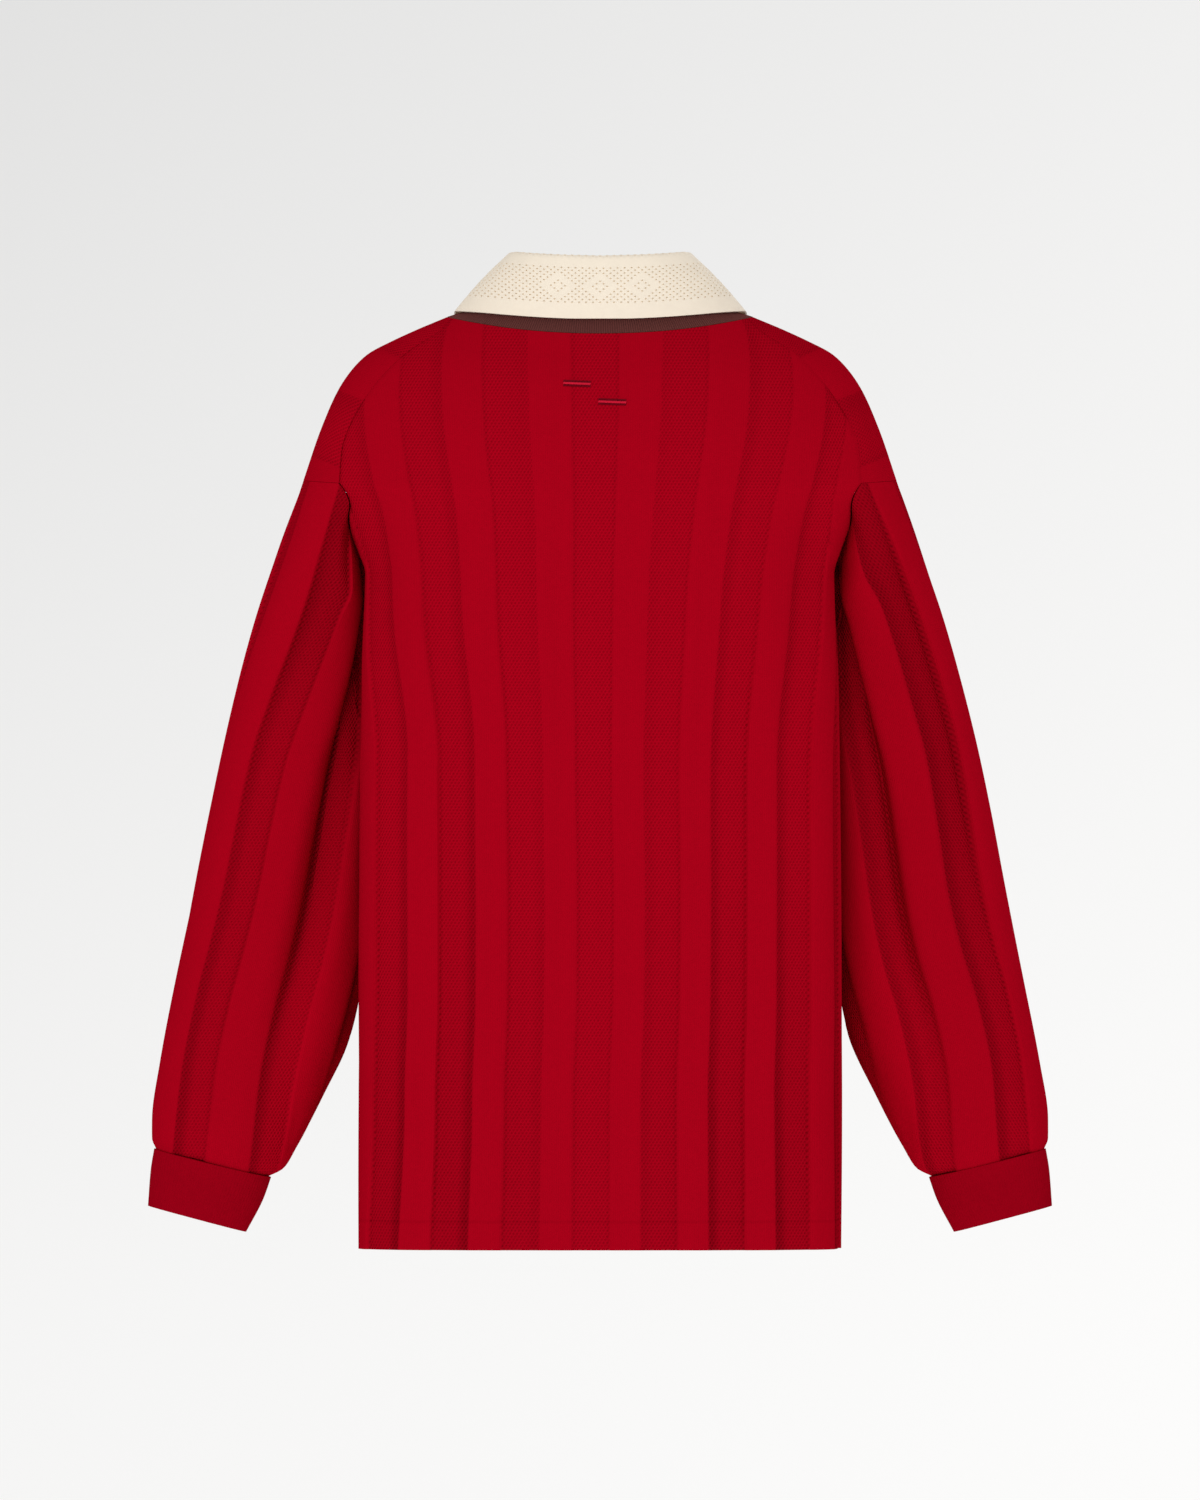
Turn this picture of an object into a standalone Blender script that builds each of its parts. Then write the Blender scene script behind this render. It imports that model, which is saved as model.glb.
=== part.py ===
"""Knit football jersey with long sleeves, a ribbed neckband and an openwork collar, hollow as worn.

Metres, +Z up. The back of the garment faces -Y and the wearer's left side is -X. The origin is the middle
of the neck opening, level with the two points where the shoulders meet the neck, where the wearer holds it.
Each panel is cut from one smooth body form: horizontal sections lofted down the garment, parted at the seams.
"""

import math
from collections import namedtuple

import bmesh
import bpy
import numpy as np
from mathutils import Vector
from mathutils.bvhtree import BVHTree

# Cloth and seams
KNIT_WALL = 0.0020
RIB_WALL = 0.0022
COLLAR_WALL = 0.0016
SEAM_GAP = 0.0009
SHOULDER_GAP = 0.0013
BAND_GAP = 0.0012
STAND_GAP = 0.0016
CORNER_GAPS = 2

# Heights of the main seams, down from the neck point
DROP_SEAM_Z = -0.130
ARMPIT_Z = -0.2035
HEM_Z = -0.738

# The side seam runs down the flank at this depth
SIDE_SEAM_Y = 0.000

# The drop seam meets the back and front panels this far from the middle. Below it each armhole line moves
# to the side seam; a power over 1 holds it back at first and lets it turn outwards low down.
BACK_CORNER_X = 0.2065
FRONT_CORNER_X = 0.2000
BACK_ARMHOLE_BOW = 1.7
FRONT_ARMHOLE_BOW = 1.6

# Stripes: a smooth rib and a moss rib alternate; these count them from the middle to the side seam
STRIPES_TO_SIDE = 10.5
STRIPES_ROUND_SLEEVE = 12

# How finely the facets follow the form
BACK_COLUMNS = 42
WING_COLUMNS = 4
MASKED_WIDTH = 0.001
DROP_SEAM_POINTS = 9
SLEEVE_COLUMNS = 24
SECTION_POINTS = 160

# How far to either side a direction along the cloth is measured
PROBE = 0.004

# Horizontal sections of the body, from the neckline to the hem. The z values are at the side, the middle of
# the back and the middle of the front; wide_y is the depth where the section is widest; the powers square
# off its back and front halves; rows is how many facets lead to the next section.
Section = namedtuple(
    "Section",
    "side_z back_z front_z half_width wide_y back_y front_y back_power front_power rows",
)
BODY_SECTIONS = [
    Section(0.0000, -0.0147, -0.085, 0.1220, -0.004, -0.070, 0.070, 2.1, 2.0, 1),
    Section(-0.0095, -0.0285, -0.094, 0.1445, -0.007, -0.079, 0.075, 2.1, 2.1, 1),
    Section(-0.0198, -0.0420, -0.102, 0.1667, -0.010, -0.088, 0.080, 2.2, 2.1, 1),
    Section(-0.0300, -0.0550, -0.109, 0.1850, -0.013, -0.095, 0.084, 2.2, 2.2, 1),
    Section(-0.0523, -0.0760, -0.121, 0.2043, -0.017, -0.103, 0.089, 2.3, 2.2, 1),
    Section(-0.0870, -0.1030, -0.135, 0.2205, -0.020, -0.111, 0.094, 2.4, 2.3, 1),
    Section(DROP_SEAM_Z, -0.1380, -0.152, 0.2352, -0.023, -0.116, 0.099, 2.5, 2.4, 1),
    Section(-0.1500, -0.1540, -0.164, 0.2110, -0.027, -0.1165, 0.102, 2.6, 2.4, 1),
    Section(-0.1700, -0.1710, -0.178, 0.1985, -0.031, -0.117, 0.105, 2.7, 2.5, 1),
    Section(-0.1900, -0.1900, -0.192, 0.1895, -0.035, -0.117, 0.107, 2.9, 2.5, 1),
    Section(ARMPIT_Z, ARMPIT_Z, ARMPIT_Z, 0.1850, -0.038, -0.117, 0.108, 3.0, 2.4, 2),
    Section(-0.285, -0.285, -0.285, 0.1875, -0.041, -0.115, 0.110, 3.3, 2.4, 2),
    Section(-0.450, -0.450, -0.450, 0.1895, -0.041, -0.108, 0.106, 3.5, 2.5, 1),
    Section(-0.600, -0.600, -0.600, 0.1900, -0.041, -0.104, 0.103, 3.6, 2.6, 1),
    Section(HEM_Z, HEM_Z, HEM_Z, 0.1900, -0.041, -0.103, 0.102, 3.6, 2.6, 0),
]

# The diagonal back shoulder seam: its distance from the middle at each height
SeamPoint = namedtuple("SeamPoint", "z x")
SHOULDER_SEAM = [
    SeamPoint(-0.138, BACK_CORNER_X + 0.0005),
    SeamPoint(-0.105, 0.2045),
    SeamPoint(-0.085, 0.1975),
    SeamPoint(-0.066, 0.1865),
    SeamPoint(-0.050, 0.1745),
    SeamPoint(-0.028, 0.1520),
    SeamPoint(-0.011, 0.1270),
    SeamPoint(0.000, 0.1170),
]

# At the drop seam the sleeve's first ring sits below the body, with this much less of its step sideways
DROP_SHARE = 0.7

# Rings of the sleeve below the armhole: the outer and inner ends of each ring, the depth of its middle, how
# far it reaches to the back and front, and how square it is
Ring = namedtuple("Ring", "outer_x outer_z inner_x inner_z mid_y reach power rows")
SLEEVE_RINGS = [
    Ring(0.2490, -0.1680, 0.1859, -0.2260, 0.008, 0.064, 2.4, 1),
    Ring(0.2590, -0.1980, 0.1853, -0.2520, 0.016, 0.060, 2.6, 1),
    Ring(0.2720, -0.2380, 0.1846, -0.2860, 0.023, 0.056, 2.8, 2),
    Ring(0.2978, -0.3360, 0.1844, -0.3750, 0.030, 0.052, 3.0, 2),
    Ring(0.3205, -0.4450, 0.1857, -0.4850, 0.034, 0.049, 3.0, 2),
    Ring(0.3375, -0.5320, 0.1970, -0.5650, 0.033, 0.046, 2.9, 1),
    Ring(0.3490, -0.5930, 0.2210, -0.6180, 0.033, 0.044, 2.8, 1),
    Ring(0.3560, -0.6370, 0.2420, -0.6600, 0.033, 0.041, 2.6, 1),
    Ring(0.3562, -0.6530, 0.2525, -0.6770, 0.033, 0.037, 2.4, 1),
    Ring(0.3530, -0.6613, 0.2640, -0.6830, 0.033, 0.033, 2.3, 0),
]
CUFF_RINGS = [
    Ring(0.3531, -0.6618, 0.2641, -0.6835, 0.033, 0.033, 2.3, 1),
    Ring(0.3558, -0.6780, 0.2700, -0.7000, 0.033, 0.029, 2.3, 1),
    Ring(0.3580, -0.7068, 0.2838, -0.7265, 0.032, 0.028, 2.3, 0),
]

# How far the smooth ribs stand out, and the moss ribs lie back, at each height. They fade out over the last
# rib before the side seam.
RibRelief = namedtuple("RibRelief", "z height")
BODY_RELIEF = [
    RibRelief(HEM_Z, 0.0012),
    RibRelief(-0.60, 0.0020),
    RibRelief(-0.35, 0.0022),
    RibRelief(-0.22, 0.0017),
    RibRelief(-0.12, 0.0006),
    RibRelief(-0.06, 0.0),
]

RIBS_OF_FADE = 1.0

# How much wider a rib is at each height than below the armholes
RibSpread = namedtuple("RibSpread", "z times")
RIB_SPREAD = [
    RibSpread(-0.35, 1.0),
    RibSpread(-0.24, 1.07),
    RibSpread(-0.16, 1.15),
    RibSpread(-0.08, 1.29),
    RibSpread(-0.02, 1.34),
]

# Folds hung from the armholes and down the sleeves: side is -1 or 1, line is the rib that the fold follows
# (on a sleeve, counted from its outer edge round the back), and the trough tapers out at both ends
Fold = namedtuple("Fold", "side line width depth top_z low_z")
BODY_FOLDS = [
    Fold(-1, 5.6, 0.8, 0.0035, -0.10, -0.40),
    Fold(1, 5.7, 0.8, 0.0045, -0.11, -0.42),
    Fold(-1, 4.0, 0.7, 0.0015, -0.20, -0.70),
    Fold(1, 6.0, 0.7, 0.0020, -0.34, -0.73),
]
SLEEVE_FOLDS = [
    Fold(-1, 1.6, 0.9, 0.0060, -0.14, -0.64),
    Fold(-1, 3.7, 1.0, 0.0120, -0.18, -0.56),
    Fold(-1, 3.6, 0.7, 0.0045, -0.44, -0.66),
    Fold(-1, -2.5, 1.2, 0.0070, -0.22, -0.60),
    Fold(1, 1.5, 0.9, 0.0060, -0.16, -0.64),
    Fold(1, 3.4, 0.9, 0.0080, -0.20, -0.65),
    Fold(1, 4.6, 0.7, 0.0045, -0.26, -0.52),
    Fold(1, -2.7, 1.2, 0.0070, -0.24, -0.62),
]

FOLD_TOP_SHARE = 0.25
FOLD_LOW_SHARE = 0.40

# Neckband: how far its upper edge lies inside and above the neckline. Every share is measured along the
# neckline, from the middle of the back (0) round one side to the middle of the front (1).
BandStation = namedtuple("BandStation", "share inward rise")
NECKBAND = [
    BandStation(0.00, 0.0070, 0.0185),
    BandStation(0.25, 0.0115, 0.0150),
    BandStation(0.46, 0.0190, 0.0060),
    BandStation(0.62, 0.0150, 0.0090),
    BandStation(1.00, 0.0090, 0.0150),
]
BAND_COLUMNS = 48
BAND_ROWS = 1

# Collar: where its fold runs, and how far below the neckline the edge of its leaf falls (less than 0 is on
# the neckband). edge_share slides the edge along the neckline, to draw the leaf out to its front points.
CollarStation = namedtuple("CollarStation", "share fold_x fold_y fold_z edge_share edge_down")
COLLAR = [
    CollarStation(0.000, 0.0000, -0.0540, 0.0478, 0.000, -0.0117),
    CollarStation(0.150, 0.0300, -0.0510, 0.0487, 0.150, -0.0112),
    CollarStation(0.280, 0.0540, -0.0390, 0.0502, 0.280, -0.0098),
    CollarStation(0.385, 0.0665, -0.0220, 0.0514, 0.385, -0.0080),
    CollarStation(0.457, 0.0700, -0.0040, 0.0505, 0.457, -0.0062),
    CollarStation(0.560, 0.0690, 0.0160, 0.0400, 0.560, -0.0020),
    CollarStation(0.700, 0.0600, 0.0340, 0.0100, 0.690, 0.0120),
    CollarStation(0.840, 0.0370, 0.0500, -0.0270, 0.800, 0.0300),
    CollarStation(0.985, 0.0060, 0.0600, -0.0560, 0.900, 0.0450),
]
COLLAR_COLUMNS = 32
NEAR_SHARE = 0.01
FOLD_RADIUS = 0.0022
LEAF_LIFT = 0.0034
LEAF_CROWN = 0.0015
STAND_STEPS = 2
TURN_STEPS = 4
LEAF_STEPS = 3

# Bar tacks at the back of the neck
Tack = namedtuple("Tack", "name left_x right_x z tilt")
TACKS = [
    Tack("tack_upper", -0.0285, -0.0079, -0.0532, 0.0008),
    Tack("tack_lower", -0.0008, 0.0202, -0.0680, 0.0008),
]
TACK_WIDTH = 0.0024
TACK_THICK = 0.0012
TACK_LIFT = 0.0004
TACK_STEPS = 6

Finish = namedtuple("Finish", "colour roughness")
KNIT_RED = Finish((0.372, 0.001, 0.010), 0.85)
RIB_RED = Finish((0.300, 0.001, 0.008), 0.88)
BAND_BROWN = Finish((0.091, 0.025, 0.023), 0.88)
COLLAR_CREAM = Finish((0.905, 0.800, 0.658), 0.85)
TACK_RED = Finish((0.500, 0.008, 0.030), 0.70)


def smooth(knots, values, at):
    """A curve through the values that never overshoots them."""
    knots, values = np.asarray(knots, float), np.asarray(values, float)
    step = np.diff(knots)
    slope = np.diff(values) / step
    tangent = np.zeros(len(values))
    tangent[0], tangent[-1] = slope[0], slope[-1]
    for i in range(1, len(values) - 1):
        before, after = slope[i - 1], slope[i]
        if before * after > 0:
            w1, w2 = 2 * step[i] + step[i - 1], step[i] + 2 * step[i - 1]
            tangent[i] = (w1 + w2) / (w1 / before + w2 / after)
    at = np.clip(at, knots[0], knots[-1])
    k = np.clip(np.searchsorted(knots, at, side="right") - 1, 0, len(step) - 1)
    t = (at - knots[k]) / step[k]
    return (
        values[k] * (1 + 2 * t) * (1 - t) ** 2
        + tangent[k] * step[k] * t * (1 - t) ** 2
        + values[k + 1] * t**2 * (3 - 2 * t)
        + tangent[k + 1] * step[k] * t**2 * (t - 1)
    )


def table_at(table, column, key, at):
    """One column of a table, read smoothly at a value of its key column."""
    rows = sorted(table, key=lambda row: getattr(row, key))
    return smooth([getattr(r, key) for r in rows], [getattr(r, column) for r in rows], at)


def ease(t):
    """0 to 1 with level ends."""
    t = np.clip(t, 0.0, 1.0)
    return t * t * (3 - 2 * t)


def spread(table, across, down, finer=1):
    """The table with rows worked out between its own, spaced by the length of its outer line."""
    columns = [name for name in table[0]._fields if name != "rows"]
    x = np.array([getattr(r, across) for r in table])
    z = np.array([getattr(r, down) for r in table])
    along = np.concatenate([[0], np.cumsum(np.hypot(np.diff(x), np.diff(z)))])
    places = [along[0]]
    for i, row in enumerate(table[:-1]):
        count = row.rows * finer
        places += list(along[i] + (along[i + 1] - along[i]) * np.arange(1, count + 1) / count)
    read = {c: smooth(along, [getattr(r, c) for r in table], np.array(places)) for c in columns}
    return [type(table[0])(rows=0, **{c: read[c][i] for c in columns}) for i in range(len(places))]


def quarter(power, count):
    """A quarter of a squared-off ellipse, from (0, 1) to (1, 0)."""
    turn = 0.5 ** (1 / power)
    near = np.linspace(0, turn, count)
    far = (1 - near**power) ** (1 / power)
    return np.concatenate([near, far[::-1][1:]]), np.concatenate([far, near[::-1][1:]])


def half_section(row):
    """The right half of a body section, from the middle of the back round to the middle of the front."""
    out, back = quarter(row.back_power, SECTION_POINTS)
    front_out, front = quarter(row.front_power, SECTION_POINTS)
    out = np.concatenate([out, front_out[::-1][1:]])
    x = row.half_width * out
    y = row.wide_y + np.concatenate(
        [(row.back_y - row.wide_y) * back, (row.front_y - row.wide_y) * front[::-1][1:]]
    )
    z = row.side_z + np.concatenate(
        [(row.back_z - row.side_z) * back**2, (row.front_z - row.side_z) * front[::-1][1:] ** 2]
    )
    return np.stack([x, y, z], axis=1)


def unit(v):
    return v / np.linalg.norm(v)


def lengths(points):
    """Distance along a line of points, from its start to each of them."""
    return np.concatenate([[0], np.cumsum(np.linalg.norm(np.diff(points, axis=0), axis=1))])


def along_line(points, places):
    """Points at these distances along a line."""
    run = lengths(points)
    return np.stack([np.interp(places, run, points[:, k]) for k in range(3)], axis=1)


def first_at(run, test):
    """The distance at which the test value first turns from negative to positive."""
    k = int(np.argmax(test >= 0))
    if k == 0:
        return run[0]
    share = test[k - 1] / (test[k - 1] - test[k])
    return run[k - 1] + share * (run[k] - run[k - 1])


class Body:
    """The smooth body form: its rows of section points and where the seams cross them."""

    def __init__(self, finer=1):
        self.rows = spread(BODY_SECTIONS, "half_width", "side_z", finer)
        self.lines = [half_section(row) for row in self.rows]
        self.runs = [lengths(line) for line in self.lines]
        side_z = np.array([row.side_z for row in self.rows])
        self.drop = int(np.argmin(abs(side_z - DROP_SEAM_Z)))
        self.armpit = int(np.argmin(abs(side_z - ARMPIT_Z)))
        self.back_edge = [self.find_back_edge(i) for i in range(len(self.rows))]
        self.front_edge = [self.find_front_edge(i) for i in range(len(self.rows))]

    def at_depth(self, i, y):
        return first_at(self.runs[i], self.lines[i][:, 1] - y)

    def depth_at(self, i, place):
        return float(np.interp(place, self.runs[i], self.lines[i][:, 1]))

    def outer_place(self, i):
        """Where a section is widest."""
        return self.at_depth(i, self.rows[i].wide_y)

    def shoulder_seam_place(self, i):
        line = self.lines[i]
        seam_x = table_at(SHOULDER_SEAM, "x", "z", line[:, 2])
        return min(first_at(self.runs[i], line[:, 0] - seam_x), self.outer_place(i))

    def armhole_share(self, i):
        top, low = self.rows[self.drop].side_z, self.rows[self.armpit].side_z
        return (self.rows[i].side_z - top) / (low - top)

    def find_back_edge(self, i):
        if i <= self.drop:
            return self.shoulder_seam_place(i)
        if i >= self.armpit:
            return self.at_depth(i, SIDE_SEAM_Y)
        corner_y = self.depth_at(self.drop, self.shoulder_seam_place(self.drop))
        share = self.armhole_share(i) ** BACK_ARMHOLE_BOW
        return self.at_depth(i, corner_y + (SIDE_SEAM_Y - corner_y) * share)

    def find_front_edge(self, i):
        line, run = self.lines[self.drop], self.runs[self.drop]
        backwards = run[-1] - run[::-1]
        corner = run[-1] - first_at(backwards, line[::-1, 0] - FRONT_CORNER_X)
        if i <= self.drop:
            return self.runs[i][-1] * corner / run[-1]
        if i >= self.armpit:
            return self.at_depth(i, SIDE_SEAM_Y)
        corner_y = self.depth_at(self.drop, corner)
        share = self.armhole_share(i) ** FRONT_ARMHOLE_BOW
        return self.at_depth(i, corner_y + (SIDE_SEAM_Y - corner_y) * share)

    def half_gap(self, i):
        """Half of the gap at the back shoulder seam, measured along a row that crosses it at a slant."""
        above, below = max(i - 1, 0), min(i + 1, self.drop)
        low = along_line(self.lines[below], [self.back_edge[below]])[0]
        high = along_line(self.lines[above], [self.back_edge[above]])[0]
        place = self.back_edge[i]
        near, far = along_line(self.lines[i], [place - PROBE, place + PROBE])
        slant = np.linalg.norm(np.cross(unit(low - high), unit(far - near)))
        return SHOULDER_GAP / 2 / slant

    def ribs_at(self, i, places):
        """The rib number at places on a row, counted from the middle of the back or, past the side, of the front."""
        level = max(i, self.armpit)
        side, end = self.at_depth(level, SIDE_SEAM_Y), self.runs[level][-1]
        times = table_at(RIB_SPREAD, "times", "z", self.rows[i].back_z)
        back = places * STRIPES_TO_SIDE / (side * times)
        front = (self.runs[i][-1] - places) * STRIPES_TO_SIDE / ((end - side) * times)
        return np.where(places < self.front_edge[i], back, front)

    def points(self, i, places, side):
        """Points on a row at these distances from the middle of the back, folds included."""
        places = np.asarray(places)
        found = along_line(self.lines[i], places)
        out = body_relief(self.ribs_at(i, places), found[:, 2], side)
        found[:, :2] += self.outward(i, places)[:, :2] * out[:, None]
        found[:, 0] *= side
        return found

    def outward(self, i, places):
        """Level directions out of the cloth."""
        ahead = along_line(self.lines[i], places + PROBE)
        behind = along_line(self.lines[i], places - PROBE)
        tangent = ahead - behind
        across = np.stack([tangent[:, 1], -tangent[:, 0]], axis=1)
        return across / np.linalg.norm(across, axis=1, keepdims=True)


def trough(fold, ribs, z):
    """How deep a fold is at a rib and height."""
    across = np.clip(abs(ribs - fold.line) / fold.width, 0, 1)
    down = (fold.top_z - z) / (fold.top_z - fold.low_z)
    taper = ease(down / FOLD_TOP_SHARE) * ease((1 - down) / FOLD_LOW_SHARE)
    return fold.depth * 0.5 * (1 + np.cos(math.pi * across)) * taper


def body_relief(ribs, z, side):
    """How far the cloth stands out from the smooth body: ribs less folds."""
    fade = ease((STRIPES_TO_SIDE - ribs) / RIBS_OF_FADE)
    out = -table_at(BODY_RELIEF, "height", "z", z) * np.cos(math.pi * ribs) * fade
    for fold in BODY_FOLDS:
        if fold.side == side:
            out = out - trough(fold, ribs, z)
    return out


def grid_mesh(name, grid, keep=None, closed=False):
    """An open surface from rows of points. keep says which faces exist; closed joins the row ends."""
    grid = np.asarray(grid)
    rows, columns = grid.shape[:2]
    mesh = bmesh.new()
    dots = {}

    def dot(i, j):
        if (i, j) not in dots:
            dots[i, j] = mesh.verts.new(grid[i, j])
        return dots[i, j]

    for i in range(rows - 1):
        for j in range(columns if closed else columns - 1):
            if keep is None or keep(i, j):
                k = (j + 1) % columns
                mesh.faces.new([dot(i, j), dot(i + 1, j), dot(i + 1, k), dot(i, k)])
    made = bpy.data.meshes.new(name)
    mesh.to_mesh(made)
    mesh.free()
    return made


def flipped(mesh):
    mesh.flip_normals()
    return mesh


def cloth(name, mesh, wall, finish, collection, offset=-1.0):
    """A cloth wall on its own object: the surface is its outer face."""
    material = bpy.data.materials.new(name)
    material.use_nodes = True
    shader = material.node_tree.nodes["Principled BSDF"]
    shader.inputs["Base Color"].default_value = (*finish.colour, 1.0)
    shader.inputs["Roughness"].default_value = finish.roughness
    shader.inputs["Metallic"].default_value = 0.0
    mesh.materials.append(material)
    mesh.shade_smooth()
    made = bpy.data.objects.new(name, mesh)
    collection.objects.link(made)
    if wall:
        thick = made.modifiers.new("wall", "SOLIDIFY")
        thick.thickness = wall
        thick.offset = offset
    return made


def back_panel(body):
    """The back: middle outwards to the shoulder seams, armholes and side seams."""
    half = np.linspace(0, 1, BACK_COLUMNS // 2 + 1)
    grid = []
    for i, edge in enumerate(body.back_edge):
        gap = body.half_gap(i) if i <= body.drop else SEAM_GAP / 2
        places = half * (edge - gap)
        left = body.points(i, places, -1)[::-1]
        right = body.points(i, places, 1)
        middle = (left[-1] + right[0]) / 2
        grid.append(np.vstack([left[:-1], middle, right[1:]]))
    return grid_mesh("back", grid)


def front_panel(body):
    """The front: from the side seams, and from the back shoulder seams over the shoulders above the drop seam."""
    to_edge = np.append(np.arange(STRIPES_TO_SIDE), STRIPES_TO_SIDE) / STRIPES_TO_SIDE
    wing = np.linspace(0, 1, WING_COLUMNS + 1)[:-1]
    grid = []
    for i, (back_edge, edge) in enumerate(zip(body.back_edge, body.front_edge)):
        inner, end = edge + SEAM_GAP / 2, body.runs[i][-1]
        start = inner - MASKED_WIDTH
        if i < body.drop:
            start = back_edge + body.half_gap(i)
        elif i == body.drop:
            start = back_edge + CORNER_GAPS * SEAM_GAP
        over = start + (inner - start) * wing
        places = np.concatenate([over, end - (end - inner) * to_edge[::-1]])
        right = body.points(i, places, 1)
        left = body.points(i, places, -1)[::-1]
        middle = (left[0] + right[-1]) / 2
        grid.append(np.vstack([right[:-1], middle, left[1:]]))
    last = len(grid[0]) - 2

    def keep(i, j):
        return i < body.drop or WING_COLUMNS <= j <= last - WING_COLUMNS

    return grid_mesh("front", grid, keep)


def armhole(body, side):
    """The armhole's back and front lines, each from the outer end of the drop seam to the armpit."""
    drop = body.drop
    outer = body.outer_place(drop)
    lines = []
    for edges, shift in ((body.back_edge, SEAM_GAP / 2), (body.front_edge, -SEAM_GAP / 2)):
        along_drop = np.linspace(outer, edges[drop] + shift, DROP_SEAM_POINTS)
        line = body.points(drop, along_drop, side)
        for i in range(drop + 1, body.armpit + 1):
            line = np.vstack([line, body.points(i, [edges[i]], side)])
        lines.append(line)
    return lines


def armhole_ring(body, side):
    """The sleeve's first ring: the armhole, moved a seam's gap down and out from the body."""
    half = SLEEVE_COLUMNS // 2
    back, front = (
        along_line(line, np.linspace(0, lengths(line)[-1], half + 1)) for line in armhole(body, side)
    )
    ring = np.vstack([back, front[::-1][1:-1]])
    down = ease((ring[:, 2] - ARMPIT_Z) / (DROP_SEAM_Z - ARMPIT_Z) * 2 - 1)
    shift = np.stack([side * (1 - DROP_SHARE * down), np.zeros(len(ring)), -down], axis=1)
    return ring + SEAM_GAP * shift / np.linalg.norm(shift, axis=1, keepdims=True)


def tube_ring(row, side):
    """Points round a sleeve ring, evenly spaced on its back and front halves, from its outer end."""
    half = SLEEVE_COLUMNS // 2
    out, deep = quarter(row.power, SECTION_POINTS)
    across = np.concatenate([out[::-1], -out[1:]])
    depth = np.concatenate([deep[::-1], deep[1:]])
    middle = np.array([row.outer_x + row.inner_x, 0, row.outer_z + row.inner_z]) / 2
    axis = np.array([row.outer_x - row.inner_x, 0, row.outer_z - row.inner_z]) / 2
    line = middle + across[:, None] * axis
    line[:, 1] = row.mid_y - row.reach * depth
    back = along_line(line, np.linspace(0, lengths(line)[-1], half + 1))
    front = back.copy()
    front[:, 1] = 2 * row.mid_y - back[:, 1]
    ring = np.vstack([back, front[::-1][1:-1]])
    ring[:, 0] *= side
    return ring


def sleeve_ribs():
    """The rib number of each column, positive round the back and negative round the front."""
    half = SLEEVE_COLUMNS // 2
    number = np.arange(SLEEVE_COLUMNS) * STRIPES_ROUND_SLEEVE / SLEEVE_COLUMNS
    return np.where(np.arange(SLEEVE_COLUMNS) > half, number - STRIPES_ROUND_SLEEVE, number)


def fold_sleeve(ring, side):
    """Pushes the folds into a sleeve ring, towards its middle."""
    inwards = ring.mean(axis=0) - ring
    inwards /= np.linalg.norm(inwards, axis=1, keepdims=True)
    deep = sum(trough(f, sleeve_ribs(), ring[:, 2]) for f in SLEEVE_FOLDS if f.side == side)
    return ring + inwards * deep[:, None]


def sleeve(name, body, side):
    rings = [armhole_ring(body, side)]
    rings += [fold_sleeve(tube_ring(row, side), side) for row in spread(SLEEVE_RINGS, "outer_x", "outer_z")]
    made = grid_mesh(name, rings, closed=True)
    return made if side < 0 else flipped(made)


def cuff(name, side):
    rings = [tube_ring(row, side) for row in spread(CUFF_RINGS, "outer_x", "outer_z")]
    made = grid_mesh(name, rings, closed=True)
    return made if side < 0 else flipped(made)


def neck_lines(body, shares, side):
    """Lines from the top of the neckband down over the neckline and the body, one for each share."""
    lines = []
    for share in shares:
        rows = [body.points(i, [share * body.runs[i][-1]], side)[0] for i in range(body.drop)]
        inward = table_at(NECKBAND, "inward", "share", share)
        rise = table_at(NECKBAND, "rise", "share", share)
        radial = np.array([rows[0][0], rows[0][1], 0.0])
        top = rows[0] - radial / np.linalg.norm(radial) * inward + np.array([0, 0, rise])
        lines.append(np.vstack([top, rows]))
    return lines


def neckband(body):
    """A ribbed strip that stands up from the neckline, all the way round."""
    half = np.linspace(0, 1, BAND_COLUMNS // 2 + 1)
    right, left = neck_lines(body, half, 1), neck_lines(body, half, -1)
    columns = left[1:-1][::-1] + right
    grid = []
    for step in np.linspace(0, 1, BAND_ROWS + 1):
        ring = []
        for line in columns:
            rise = line[1] - line[0]
            ring.append(line[0] + rise * step * (1 - BAND_GAP / np.linalg.norm(rise)))
        grid.append(ring)
    return grid_mesh("neckband", grid, closed=True)


def lifted_edge(body, share, down, side):
    """A point this far down from the neckline, held clear of the cloth below it."""
    here, next_to = neck_lines(body, [share, share + NEAR_SHARE], side)
    place = np.linalg.norm(here[1] - here[0]) + down
    spots = along_line(here, [place, place + PROBE])
    beside = along_line(next_to, [place])[0]
    normal = np.cross(beside - spots[0], spots[1] - spots[0]) * -side
    return spots[0] + normal / np.linalg.norm(normal) * LEAF_LIFT


def collar_profile(base, fold, edge, along):
    """One section of the collar: up the stand, over the fold and down the leaf."""
    down = (base + edge) / 2 - fold
    up = -unit(down - along * np.dot(down, along))
    out = edge - base
    out = unit(out - along * np.dot(out, along) - up * np.dot(out, up))
    centre = fold - up * FOLD_RADIUS
    turn = [
        centre + FOLD_RADIUS * (up * math.sin(a) - out * math.cos(a))
        for a in np.linspace(0, math.pi, TURN_STEPS + 1)
    ]
    base = base + unit(turn[0] - base) * STAND_GAP
    stand = [base + (turn[0] - base) * t for t in np.arange(STAND_STEPS) / STAND_STEPS]
    leaf = [
        turn[-1] + (edge - turn[-1]) * t + out * LEAF_CROWN * math.sin(math.pi * t)
        for t in np.arange(1, LEAF_STEPS + 1) / LEAF_STEPS
    ]
    return stand + turn + leaf


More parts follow.
